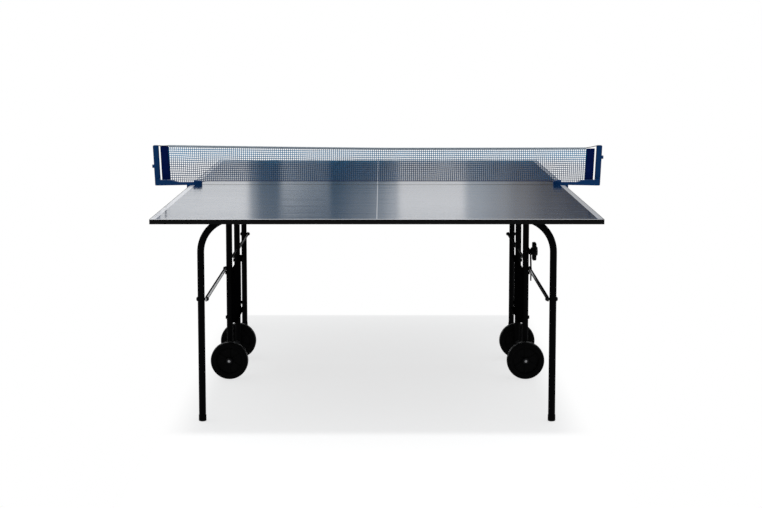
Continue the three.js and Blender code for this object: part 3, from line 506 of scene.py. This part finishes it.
def build_leg_bolts(end, sign):
    """The bolts that join the stays to the legs: domed head outside, spacer, washer and nut inside."""
    washer, small_washer, nut, bolt, spacer = 0.0085, 0.0082, 0.0125, 0.0038, 0.0055
    shell = Shell()
    centre = Vector((0, sign * LEG_Y, STAY_Z))
    outside, inside = LEG_X + TUBE_RADIUS, LEG_X - TUBE_RADIUS
    tip = outside + BOLT_HEAD
    dome = [(outside + 0.001, 0.0068), (tip - 0.0022, 0.0068), (tip - 0.0010, 0.0058),
            (tip - 0.0003, 0.0040), (tip, 0.0012)]
    for _, side in SIDES:
        out = X_AXIS * side
        shell.rings(rod(out, centre, outside - 0.002, outside + 0.0012, washer))
        shell.rings(turned(dome, out, centre, 28))
        shell.rings(rod(out, centre, STAY_INNER - 0.0016, STAY_INNER - 0.0004, small_washer))
        shell.rings(hexagon(out, centre, STAY_INNER - 0.0014, STAY_INNER - 0.0062, nut))
        shell.rings(rod(out, centre, STAY_INNER - 0.0082, STAY_INNER - 0.004, bolt))
        shell.rings(rod(out, centre, STAY_OUTER + 0.0002, inside + 0.003, spacer))
    return shell.build(f"{end}_leg_bolts", 35)


def build_foot(corner, sign_x, sign_y):
    """A moulded cap with a rounded sole and a thin lip."""
    low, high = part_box(f"{corner}_foot")
    centre = Vector((sign_x * LEG_X, sign_y * LEG_Y, 0))
    r, top, bore = (high.x - low.x) / 2, high.z, TUBE_RADIUS + 0.0002
    profile = [(0.0, r - 0.0042), (0.0004, r - 0.0028), (0.0012, r - 0.0014), (0.0024, r - 0.0005),
               (0.0040, r), (top - 0.0035, r - 0.0001), (top - 0.0015, r - 0.0002),
               (top - 0.0004, r - 0.0006), (top, r - 0.0009), (top - 0.0008, bore), (0.006, bore)]
    return Shell().rings(turned(profile, Z_AXIS, centre, 56)).build(f"{corner}_foot_cap", 50)


def build_stay_trim(corner, sign_x, sign_y):
    """Washer, nut and bolt end on the carriage end of a stay."""
    washer, nut, bolt = 0.0085, 0.0125, 0.0036
    shell = Shell()
    centre = Vector((0, sign_y * PIVOT_Y, STAY_Z))
    out = X_AXIS * sign_x
    shell.rings(rod(out, centre, STAY_OUTER + 0.0001, STAY_OUTER + 0.0013, washer))
    shell.rings(hexagon(out, centre, STAY_OUTER + 0.0011, STAY_OUTER + 0.0064, nut))
    shell.rings(rod(out, centre, STAY_OUTER + 0.004, STAY_OUTER + 0.0079, bolt))
    return shell.build(f"{corner}_stay_nut", 35)


def build_tyre(corner):
    """A tyre with two raised tread bands, rounded shoulders and fine side rings."""
    low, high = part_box(f"{corner}_tyre")
    half, radius = (high.y - low.y) / 2, (high.z - low.z) / 2
    hub_low, hub_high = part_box(f"{corner}_wheel_hub")
    inner, steps = (hub_high.z - hub_low.z) / 2 - 0.0004, 6
    edge = [(half - 0.0022, inner), (half - 0.0006, inner + 0.0016), (half - 0.0002, inner + 0.0036)]
    for at in (0.0065, 0.0105):
        edge += [(half - 0.0002, inner + at - 0.0009), (half - 0.0010, inner + at - 0.0004),
                 (half - 0.0010, inner + at + 0.0004), (half - 0.0002, inner + at + 0.0009)]
    for i in range(steps + 1):
        a = math.pi / 2 * i / steps
        edge.append((half - 0.0062 + 0.006 * math.cos(a), radius - 0.0068 + 0.0056 * math.sin(a)))
    edge += [(0.0100, radius - 0.0006), (0.0088, radius - 0.0001), (0.0060, radius),
             (0.0045, radius - 0.0002), (0.0034, radius - 0.0014), (0.0026, radius - 0.0024)]
    rings = turned(mirrored(edge), Y_AXIS, middle(f"{corner}_tyre"), 128)
    return Shell().rings(rings, closed=True).build(f"{corner}_tyre_ring", 35)


def wheel_spokes(shell, centre, face, half, rim):
    """Flat raised ribs that join the hub to the rim, on one face of the wheel."""
    count = 6
    for i in range(count):
        a = 2 * math.pi * (i + 0.5) / count
        along = Vector((math.cos(a), 0, math.sin(a)))
        across = Vector((-math.sin(a), 0, math.cos(a)))
        rings = []
        for r, w in ((0.0150, 0.0052), (0.022, 0.0040), (rim - 0.010, 0.0036), (rim - 0.004, 0.0046)):
            foot = centre + along * r + Y_AXIS * (face * (half - 0.0135))
            top = centre + along * r + Y_AXIS * (face * (half - 0.0075))
            taper = w - 0.0006
            rings.append([foot + across * w, top + across * taper, top - across * taper, foot - across * w])
        shell.rings(rings)


def build_hub(corner):
    """A dished hub: rim, recessed web with ribs, and a boss round the axle."""
    low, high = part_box(f"{corner}_wheel_hub")
    centre = middle(f"{corner}_wheel_hub")
    half, rim = (high.y - low.y) / 2, (high.z - low.z) / 2
    bore = 0.0053
    edge = [(half, bore), (half, 0.0128), (half - 0.0010, 0.0140), (half - 0.0105, 0.0152),
            (half - 0.0120, 0.0168), (half - 0.0122, rim - 0.0090), (half - 0.0108, rim - 0.0068),
            (half - 0.0030, rim - 0.0046), (half - 0.0014, rim - 0.0040), (half - 0.0010, rim - 0.0012),
            (half - 0.0022, rim - 0.0002)]
    shell = Shell().rings(turned(mirrored(edge), Y_AXIS, centre, 96), closed=True)
    for face in (-1, 1):
        wheel_spokes(shell, centre, face, half, rim)
    return shell.build(f"{corner}_hub", 32)


def build_axle(corner, sign_y):
    """The axle bolt through the upright and the wheel: inner nut, washer, outer nut, bright bolt end."""
    low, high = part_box(f"{corner}_axle_bolt")
    hub_low, hub_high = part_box(f"{corner}_wheel_hub")
    centre = middle(f"{corner}_axle_bolt")
    centre.y = 0
    bolt, nut, washer = 0.0049, 0.0165, 0.0118
    out = Y_AXIS * sign_y
    face, limit = (hub_high.y, high.y) if sign_y > 0 else (-hub_low.y, -low.y)
    start = low.y if sign_y > 0 else -high.y
    nut_face = PIVOT_Y - TUBE_RADIUS - 0.0003
    dark, bright = Shell(), Shell()
    dark.rings(rod(out, centre, start, limit - 0.0030, bolt))
    dark.rings(hexagon(out, centre, nut_face, nut_face - 0.0075, nut))
    dark.rings(rod(out, centre, face + 0.0004, face + 0.0018, washer))
    dark.rings(hexagon(out, centre, face + 0.0016, limit - 0.0016, nut))
    cap = [(limit - 0.004, 0.0052), (limit - 0.0010, 0.0052), (limit - 0.0002, 0.0042), (limit, 0.0012)]
    bright.rings(turned(cap, out, centre, 28))
    return dark.build(f"{corner}_axle", 32), bright.build(f"{corner}_axle_end", 40)


def build_knob():
    """A six-lobed star knob with rolled lobes, a raised boss and a dished cap."""
    low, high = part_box("lock_knob")
    axle = middle("lock_knob")
    axle.x = 0
    reach = (high.y - low.y) / 2 - 0.0005
    seat, tip = STAY_OUTER + 0.0005, high.x
    lobe_in, lobe_out, roll = seat + 0.006, seat + 0.021, 0.0040
    valley, lobes, around, steps = reach * 0.74, 6, 120, 5

    def outline(shrink, x):
        ring = []
        for j in range(around):
            a = 2 * math.pi * j / around
            wave = 0.5 + 0.5 * math.cos(lobes * a)
            r = valley + (reach - valley) * wave ** 0.75 - shrink
            ring.append(axle + Vector((x, r * math.cos(a), r * math.sin(a))))
        return ring

    rings = [outline(0.020, lobe_in - 0.0002), outline(0.0050, lobe_in)]
    for i in range(1, steps + 1):
        a = math.pi / 2 * i / steps
        rings.append(outline(roll * (1 - math.sin(a)), lobe_in + roll * (1 - math.cos(a))))
    for i in range(steps + 1):
        a = math.pi / 2 * i / steps
        rings.append(outline(roll * (1 - math.cos(a)), lobe_out - roll * (1 - math.sin(a))))
    rings += [outline(0.0060, lobe_out + 0.0001), outline(0.0105, lobe_out - 0.0012)]
    cap = [(seat + 0.012, 0.0185), (tip - 0.0030, 0.0178), (tip - 0.0012, 0.0168),
           (tip - 0.0002, 0.0150), (tip - 0.0002, 0.0132), (tip - 0.0012, 0.0122), (tip - 0.0014, 0.0060)]
    boss = [(seat, 0.0146), (seat + 0.0010, 0.0150), (seat + 0.0085, 0.0165)]
    shell = Shell().rings(rings)
    shell.rings(turned(cap, X_AXIS, axle, 64))
    shell.rings(turned(boss, X_AXIS, axle, 48))
    shell.rings(rod(X_AXIS, axle, low.x, seat + 0.004, 0.0040))
    return shell.build("lock_knob_star", 40)


for end, sign_y in ENDS:
    body = f"{end}_leg"
    finish_piece(build_leg_frame(end, sign_y), body, "frame_steel", STEEL_BLACK, f"{end}_leg_frame")
    finish_piece(build_leg_bolts(end, sign_y), body, "zinc_steel", DARK_BOLT)
    for side_name, sign_x in SIDES:
        corner = f"{end}_{side_name}"
        foot, trim = build_foot(corner, sign_x, sign_y), build_stay_trim(corner, sign_x, sign_y)
        finish_piece(foot, body, "foot_rubber", FOOT_RUBBER, f"{corner}_foot")
        finish_piece(trim, f"{end}_stays", "zinc_steel", DARK_BOLT)
        finish_piece(build_tyre(corner), f"{corner}_wheel", "tyre_rubber", TYRE, f"{corner}_tyre")
        finish_piece(build_hub(corner), f"{corner}_wheel", "hub_plastic", HUB, f"{corner}_wheel_hub")
        axle, axle_end = build_axle(corner, sign_y)
        finish_piece(axle, "carriage", "axle_steel", DARK_BOLT, f"{corner}_axle_bolt")
        finish_piece(axle_end, "carriage", "axle_steel", AXLE_STEEL)
finish_piece(build_knob(), "lock_handle", "knob_plastic", KNOB, "lock_knob")

# ---- Net set ------------------------------------------------------------------------------------
NET_LOW, NET_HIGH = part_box("net")
NET_HEIGHT = 0.1525
TAPE_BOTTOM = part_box("net_tape")[0].z
TAPE_TOP = TABLE_TOP + NET_HEIGHT
NET_TOP = TAPE_BOTTOM - 0.0003
POST_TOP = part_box("right_net_bracket")[1].z
POST_LEAN = 0.007 / NET_HEIGHT
TAPE_LIFT, LIFT_START = 0.0095, 0.050  # rise of the top edge at the left end, and where it starts
TOP_SAG = 0.0014
HEM_LEVEL, HEM_REACH, HEM_STEP = 0.0150, 0.690, 0.055  # height over the board, and where it steps up
CORD_RADIUS = 0.0015
POST_OFFSET = 0.023  # from the middle of a sleeve to its post
SLEEVE_RISE = {"left": 0.0048, "right": 0.0012}  # how far each sleeve stands over its CAD solid


def smooth_noise(seed, t):
    """A calm wandering curve made of three slow waves."""
    return (math.sin(t * 1.7 + seed * 2.1) + 0.6 * math.sin(t * 3.9 + seed * 5.3)
            + 0.3 * math.sin(t * 8.3 + seed * 1.3)) / 1.9


def lean(z):
    """How far the posts lean outwards between the board and a level above it."""
    return POST_LEAN * (z - TABLE_TOP)


def net_reach(z):
    """Half length of the net at a level, between the leaning sleeves."""
    return NET_HIGH.x - 0.0005 - lean(NET_TOP) + lean(z)


def top_rise(x):
    """The top edge climbs to the left post, and hangs a hair lower between the posts than at them."""
    run = net_reach(TABLE_TOP) + LIFT_START
    sag = TOP_SAG * (1 - (x / NET_HIGH.x) ** 2)
    return TAPE_LIFT * max(0.0, (LIFT_START - x) / run) ** 1.15 - sag


def bottom_level(x):
    """The net hangs close to the board, and its ends step up over the brackets."""
    step = min(1.0, max(0.0, (abs(x) - HEM_REACH) / HEM_STEP))
    middle_level, end_level = TABLE_TOP + HEM_LEVEL, NET_LOW.z + 0.0018
    return middle_level + (end_level - middle_level) * step * step * (3 - 2 * step)


def crossing(step, thread):
    """Where a thread is at each half step along it: over or under by turns, and level between."""
    if step % 2:
        return 0
    return 1 if (step // 2 + thread) % 2 else -1


def build_net():
    """Threads woven over and under each other, pulled a little out of square between the sleeves."""
    columns, rows = 214, 17
    radius, flatness, sides = 0.00096, 1.45, 6
    shell = Shell()

    def place(u, v, lift):
        """u runs -1..1 along the net, v 0..1 up it."""
        calm = math.sin(math.pi * v)
        sway = 0.0017 * smooth_noise(1.0, u * 9 + v * 1.3) * calm * (1 - abs(u) ** 8)
        drop = 0.0012 * smooth_noise(3.0, u * 14) * calm
        low = bottom_level(u * net_reach(TABLE_TOP))
        z = low + (NET_TOP + 0.0012 - low) * v
        x = u * net_reach(z)
        return Vector((x + sway, lift, z + drop + top_rise(x) * v))

    def ring(centre, along):
        flat = along.cross(Y_AXIS)
        return [centre + Y_AXIS * (radius * math.cos(a)) + flat * (radius * flatness * math.sin(a))
                for a in (2 * math.pi * (j + 0.5) / sides for j in range(sides))]

    for i in range(columns):
        u = -1 + 2 * i / (columns - 1)
        rings = []
        for k in range(2 * rows - 1):
            lift = radius * 0.5 * crossing(k, i)
            rings.append(ring(place(u, k / (2 * rows - 2), lift), Z_AXIS))
        shell.rings(rings)
    for k in range(rows):
        rings = []
        for i in range(2 * columns - 1):
            lift = -radius * 0.5 * crossing(i, k)
            rings.append(ring(place(-1 + i / (columns - 1), k / (rows - 1), lift), X_AXIS))
        shell.rings(rings)
    return shell.build("net_mesh", 80)


def build_hem():
    """A thicker cord laced along the bottom of the net."""
    steps = 240
    points = []
    for i in range(steps + 1):
        x = (-1 + 2 * i / steps) * net_reach(TABLE_TOP)
        points.append(Vector((x, 0.0003 * smooth_noise(4.0, x * 40), bottom_level(x))))
    radii = [0.0017 + 0.00012 * math.sin(i * 2.4) for i in range(steps + 1)]
    return Shell().rings(tube_rings(points, radii, 12)).build("net_hem_cord", 60)


def tape_ripple(u):
    """Sideways wander of the tape's flaps; u runs -1..1 along it."""
    return 0.00025 * smooth_noise(2.0, u * 60)


def build_tape():
    """A folded cloth tape: a bulge round the top cord, and two flaps down over the net's edge."""
    bulge, wall, flap = 0.0023, 0.0004, 0.0020
    steps, arc_steps = 200, 12
    bottom, top = TAPE_BOTTOM + 0.0004, TAPE_TOP - 0.0006
    heights = (bottom, bottom + 0.0014, top - 2.3 * bulge)
    widths = (flap, flap * 0.98, flap * 0.93)

    def outline(inset):
        right = [(w - inset, z) for w, z in zip(widths, heights)]
        over = []
        for j in range(arc_steps + 1):
            a = math.pi * j / arc_steps
            over.append(((bulge - inset) * math.cos(a), top - bulge + (bulge - inset) * math.sin(a)))
        return right + over + [(-y, z) for y, z in right[::-1]]

    section = outline(0.0) + outline(wall)[::-1]
    rings = []
    for i in range(steps + 1):
        u = -1 + 2 * i / steps
        ring = []
        for y, z in section:
            x = u * (net_reach(z) - 0.0003)
            ripple = tape_ripple(u) * (top - z) / (top - bottom)
            ring.append(Vector((x, y + ripple, z + top_rise(x))))
        rings.append(ring)
    return Shell().rings(rings).build("net_tape_cloth", 60)


# place along a stitch, and its height and radius there in thread thicknesses
STITCH_SHAPE = ((0.0, -0.2, 0.5), (0.15, 0.5, 0.9), (0.5, 0.9, 1.0), (0.85, 0.5, 0.9), (1.0, -0.2, 0.5))


def build_stitches(name, points, length, thick, gap):
    """Short raised thread stitches along a path, given as (point, outward) pairs."""
    shell = Shell()
    for (point, out), (after, _) in zip(points[:-1], points[1:]):
        along = after - point
        along = along.normalized() * min(length, along.length - gap)
        path = [point + along * place + out * (thick * height) for place, height, _ in STITCH_SHAPE]
        shell.rings(tube_rings(path, [thick * radius for _, _, radius in STITCH_SHAPE], 6))
    return shell.build(name, 80)


def tape_stitches():
    """A row of stitches along each flap of the tape."""
    count, length, thick, gap = 400, 0.006, 0.00032, 0.002
    level = TAPE_BOTTOM + 0.0019
    reach = net_reach(level) - 0.004
    rows = []
    for name, face in ENDS:
        row = []
        for i in range(count + 1):
            x = -reach + 2 * reach * i / count
            y = face * 0.00196 + 0.8 * tape_ripple(x / reach)
            row.append((Vector((x, y, level + top_rise(x))), Y_AXIS * face))
        rows.append(build_stitches(f"tape_stitches_{name}", row, length, thick, gap))
    return rows


def sleeve_size(side):
    """Lowest and highest level of a sleeve, and how far out its middle is at the board's level."""
    low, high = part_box(f"{side}_net_sleeve")
    bottom, top = low.z + 0.0006, high.z + SLEEVE_RISE[side]
    return bottom, top, abs(low.x + high.x) / 2 - lean((bottom + top) / 2)


def sleeve_outline(a, squeeze):
    """The point of the flattened sleeve's outline in a direction round its middle."""
    half_w, half_d = 0.0168, 0.0064
    c, s = math.cos(a), math.sin(a)
    x = math.copysign(abs(c) ** 0.8, c) * half_w
    y = math.copysign(abs(s) ** 0.95, s) * half_d * squeeze
    return x, y


def sleeve_squeeze(sign, v):
    """How thick the sleeve is at a share of its height, against its full depth."""
    return 0.80 + 0.10 * smooth_noise(5 + sign, v * 5)


def build_sleeve(side, sign):
    """A doubled cloth sleeve: it hangs on the net rod, gathered slightly, with hems at both ends."""
    bottom, top, rod_x = sleeve_size(side)
    sides, levels, wall, hem_depth = 56, 60, 0.0009, 0.02
    rings = []
    for layer in (0, 1):  # the outer skin upwards, then the inner skin down again
        for step in range(levels + 1):
            v = (levels - step if layer else step) / levels
            z = bottom + (top - bottom) * v
            hem = math.exp(-(v / hem_depth) ** 2) + math.exp(-((1 - v) / hem_depth) ** 2)
            squeeze = sleeve_squeeze(sign, v) + 0.16 * hem
            ring = []
            for j in range(sides):
                a = 2 * math.pi * j / sides
                x, y = sleeve_outline(a, squeeze)
                fold = 0.00035 * math.sin(v * 26 + 1.4 * math.sin(3 * a)) * abs(math.sin(a))
                fold += 0.00030 * smooth_noise(2 + sign, v * 11 + a)
                shrink = 1 - layer * wall / max(math.hypot(x, y), 1e-4)
                x = sign * (rod_x + lean(z)) + x * shrink
                ring.append(Vector((x, (y + math.copysign(fold, y)) * shrink, z)))
            rings.append(ring)
    return Shell().rings(rings, closed=True).build(f"{side}_net_sleeve_cloth", 70)


def sleeve_seams(side, sign):
    """Stitch rows down the inner edge of a sleeve, one on each face."""
    bottom, top, rod_x = sleeve_size(side)
    count, inset, seam_angle = 42, 0.004, math.radians(140)
    length, thick, gap = 0.0024, 0.00034, 0.0008
    seams = []
    for name, face in ENDS:
        row = []
        for i in range(count + 1):
            z = bottom + inset + (top - bottom - 2 * inset) * i / count
            squeeze = sleeve_squeeze(sign, (z - bottom) / (top - bottom))
            x, y = sleeve_outline(seam_angle * face, squeeze)
            row.append((Vector((sign * (rod_x + lean(z) + x), y, z)), Y_AXIS * face))
        seams.append(build_stitches(f"{side}_sleeve_seam_{name}", row, length, thick, gap))
    return seams


def cord_route(side, sign):
    """The end of the top cord: out of the tape, over the sleeve and up to the post, made fast there."""
    steps, sag = 16, 0.0008
    start_x = sign * (net_reach(TAPE_TOP) - 0.004)
    start = Vector((start_x, 0, TAPE_TOP - 0.0025 + TAPE_LIFT * (sign < 0)))
    rod_x = sleeve_size(side)[2]
    end_z = POST_TOP - 0.0018
    end_x = sign * (rod_x + POST_OFFSET + lean(end_z) + CORD_RADIUS)
    end = Vector((end_x, 0, end_z))
    points = []
    for i in range(steps + 1):
        t = i / steps
        place = start.lerp(end, t)
        place.z -= sag * math.sin(math.pi * t)
        points.append(place)
    return points


# The net, hem and sleeves stay out of the gloss: worn lacquer is too dull to mirror single threads
net_mesh = finish_piece(build_net(), "near_half", "net_cord", THREAD, "net")
net_mesh.visible_glossy = False
net_hem = finish_piece(build_hem(), "near_half", "net_cord", NAVY_STITCH)
net_hem.visible_glossy = False
net_tape_cloth = finish_piece(build_tape(), "near_half", "tape_cloth", TAPE, "net_tape")
stitch_rows = [finish_piece(row, "near_half", "tape_cloth", STITCH) for row in tape_stitches()]
for side, sign in SIDES:
    sleeve = build_sleeve(side, sign)
    finish_piece(sleeve, "near_half", "sleeve_cloth", SLEEVE, f"{side}_net_sleeve")
    sleeve.visible_glossy = False
    seams = sleeve_seams(side, sign)
    for row in seams:
        finish_piece(row, "near_half", "sleeve_cloth", NAVY_STITCH)
    route = cord_route(side, sign)
    cord_end = Shell().rings(tube_rings(route, CORD_RADIUS, 16)).build(f"{side}_net_cord_end", 60)
    finish_piece(cord_end, "near_half", "tape_cloth", CORD)

# ---- Stage: pale floor, a reflector that only gloss sees, soft light, camera ----------------------
SHADOW_DEPTH, LIT_PAPER = 0.305, 1.22  # how strongly the shadow marks the paper, and its lightness
SHADOW_SIDE, SHADOW_FADE, SHADOW_BACK = 0.60, 0.17, 1.37  # where the shadow fades, across and behind
REFLECTOR_HEIGHT = 1.9
CAMERA_PLACE, CAMERA_PITCH, CAMERA_LENS = (0.014, -7.510, 1.405), 7.065, 87.15


def stage_plane(name, width, depth, place, turn, material):
    """A flat sheet that isn't part of the object."""
    half_w, half_d = width / 2, depth / 2
    corners = [(-half_w, -half_d, 0), (half_w, -half_d, 0), (half_w, half_d, 0), (-half_w, half_d, 0)]
    plane = mesh_object(name, corners, [(0, 1, 2, 3)])
    plane.location = place
    plane.rotation_euler = turn
    plane.data.materials.append(material)
    return plane


def floor_material():
    """A pale studio floor that the camera sees as white paper with the table's soft shadow on it."""
    finish = Finish("floor")
    tree = finish.tree
    x, y, _ = finish.axes()
    beside = finish.ramp(finish.math("ABSOLUTE", x), SHADOW_SIDE, SHADOW_SIDE + SHADOW_FADE, 1.0, 0.0)
    beyond = finish.ramp(y, SHADOW_BACK, SHADOW_BACK + 0.05, 1.0, 0.0)
    depth = finish.math("MULTIPLY", finish.math("MULTIPLY", beside, beyond), SHADOW_DEPTH)
    diffuse = finish.node("ShaderNodeBsdfDiffuse", {"Color": rgb(0.86, 0.86, 0.86)})
    lit = finish.node("ShaderNodeBsdfDiffuse", {"Color": rgb(LIT_PAPER, LIT_PAPER, LIT_PAPER)})
    paper = finish.node("ShaderNodeEmission", {"Color": rgb(1, 1, 1), "Strength": 1.0})
    seen = finish.node("ShaderNodeMixShader", {0: depth})
    tree.links.new(paper.outputs[0], seen.inputs[1])
    tree.links.new(lit.outputs[0], seen.inputs[2])
    path = finish.node("ShaderNodeLightPath")
    bent = finish.math("MAXIMUM", path.outputs["Is Glossy Ray"], path.outputs["Is Transmission Ray"])
    looked_at = finish.math("MAXIMUM", path.outputs["Is Camera Ray"], bent)
    shown = finish.node("ShaderNodeMixShader", {0: looked_at})
    tree.links.new(diffuse.outputs[0], shown.inputs[1])
    tree.links.new(seen.outputs[0], shown.inputs[2])
    tree.links.new(shown.outputs[0], tree.nodes["Material Output"].inputs[0])
    return finish.material


def stepped(finish, value, stops):
    """A smooth profile through (place, level) stops."""
    total = stops[0][1]
    for (place, level), (next_place, next_level) in zip(stops, stops[1:]):
        step = finish.ramp(value, place, next_place, 0.0, next_level - level)
        total = finish.math("ADD", step, total)
    return total


def reflector_material():
    """A room for the gloss of the tops: upright light and dark panels, brighter higher up."""
    finish = Finish("reflector")
    tree = finish.tree
    x, y, _ = finish.axes()
    level = finish.math("ADD", y, REFLECTOR_HEIGHT)
    panels = stepped(finish, x, (
        (-3.20, 0.60), (-1.80, 1.28), (-1.10, 1.35), (-0.985, 1.35), (-0.925, 0.44), (-0.86, 0.16),
        (-0.75, 0.13), (-0.69, 0.80), (-0.45, 0.48), (-0.39, 0.38), (-0.34, 0.05), (-0.11, 0.20),
        (0.01, 0.34), (0.115, 0.62), (0.165, 1.32), (0.60, 1.32), (0.67, 0.68), (0.90, 0.50),
        (1.02, 0.33), (1.26, 0.13), (1.48, 0.05), (3.2, 0.03)))
    cool = stepped(finish, x, (
        (-3.20, 0.04), (-0.985, 0.04), (-0.925, 0.11), (0.11, 0.11), (0.165, 0.03), (0.60, 0.03),
        (0.67, 0.11), (1.10, -0.02)))
    strip = stepped(finish, x, ((-0.75, 0.0), (-0.70, 1.0), (-0.40, 1.0), (-0.34, 0.0)))
    inner = stepped(finish, x, ((-0.37, 0.0), (-0.32, 1.0), (0.08, 1.0), (0.15, 0.0)))
    shaded = finish.math("MULTIPLY", strip, finish.ramp(level, 1.38, 1.52, 0.0, 0.92))
    raised = finish.math("MULTIPLY", inner, finish.ramp(level, 1.28, 1.44, -0.24, 0.36))
    panels = finish.math("MULTIPLY", panels, finish.math("SUBTRACT", 1.0, shaded))
    panels = finish.math("MULTIPLY", panels, finish.math("ADD", 1.0, raised))
    panels = finish.math("MULTIPLY", panels, stepped(finish, level, (
        (1.08, 0.42), (1.20, 0.55), (1.28, 0.645), (1.385, 0.79), (1.455, 0.87), (1.52, 0.80))))
    cool = finish.math("MULTIPLY", cool, stepped(finish, level, ((1.14, 0.50), (1.30, 1.0), (1.48, 0.55))))
    veil = stepped(finish, level, ((1.18, 0.035), (1.30, 0.0), (1.60, 0.12)))
    red = finish.math("ADD", panels, veil)
    green = finish.math("MULTIPLY_ADD", cool, 0.5, red)
    blue = finish.math("ADD", cool, red)
    light = finish.node("ShaderNodeCombineColor", {0: red, 1: green, 2: blue})
    glow = finish.node("ShaderNodeEmission", {"Color": light.outputs[0], "Strength": 1.0})
    tree.links.new(glow.outputs[0], tree.nodes["Material Output"].inputs[0])
    return finish.material


def world_light(strength):
    """Even soft light; the camera, gloss and glass see it as plain white."""
    world = bpy.data.worlds.new("studio")
    bpy.context.scene.world = world
    world.use_nodes = True
    tree = world.node_tree
    lit = tree.nodes["Background"]
    lit.inputs["Color"].default_value = (0.96, 0.98, 1.0, 1)
    lit.inputs["Strength"].default_value = strength
    white = tree.nodes.new("ShaderNodeBackground")
    white.inputs["Color"].default_value = (1, 1, 1, 1)
    white.inputs["Strength"].default_value = 1.0
    path = tree.nodes.new("ShaderNodeLightPath")
    bent, looked_at = tree.nodes.new("ShaderNodeMath"), tree.nodes.new("ShaderNodeMath")
    bent.operation = looked_at.operation = "MAXIMUM"
    tree.links.new(path.outputs["Is Glossy Ray"], bent.inputs[0])
    tree.links.new(path.outputs["Is Transmission Ray"], bent.inputs[1])
    tree.links.new(path.outputs["Is Camera Ray"], looked_at.inputs[0])
    tree.links.new(bent.outputs[0], looked_at.inputs[1])
    mix = tree.nodes.new("ShaderNodeMixShader")
    tree.links.new(looked_at.outputs[0], mix.inputs[0])
    tree.links.new(lit.outputs[0], mix.inputs[1])
    tree.links.new(white.outputs[0], mix.inputs[2])
    tree.links.new(mix.outputs[0], tree.nodes["World Output"].inputs[0])


def sun(name, turn, power, spread):
    """A sun lamp, with its turn and its spread in degrees."""
    data = bpy.data.lights.new(name, "SUN")
    data.energy = power
    data.angle = math.radians(spread)
    lamp = bpy.data.objects.new(name, data)
    bpy.context.scene.collection.objects.link(lamp)
    lamp.rotation_euler = [math.radians(a) for a in turn]


stage_plane("floor", 60, 60, (0, 0, 0), (0, 0, 0), floor_material())
reflector = stage_plane("reflector", 7.0, 2.6, (0, 6.0, REFLECTOR_HEIGHT), (math.pi / 2, 0, 0),
                        reflector_material())
reflector.visible_camera = False
reflector.visible_diffuse = False
reflector.visible_shadow = False

world_light(0.65)
sun("overhead", (10.0, 0.0, 0.0), 1.20, 7.0)

camera_data = bpy.data.cameras.new("camera")
camera_data.sensor_width = 36.0
camera_data.lens = CAMERA_LENS
camera = bpy.data.objects.new("camera", camera_data)
bpy.context.scene.collection.objects.link(camera)
camera.location = CAMERA_PLACE
camera.rotation_euler = (math.radians(90 - CAMERA_PITCH), 0, 0)
bpy.context.scene.camera = camera
bpy.context.scene.view_settings.view_transform = "Standard"
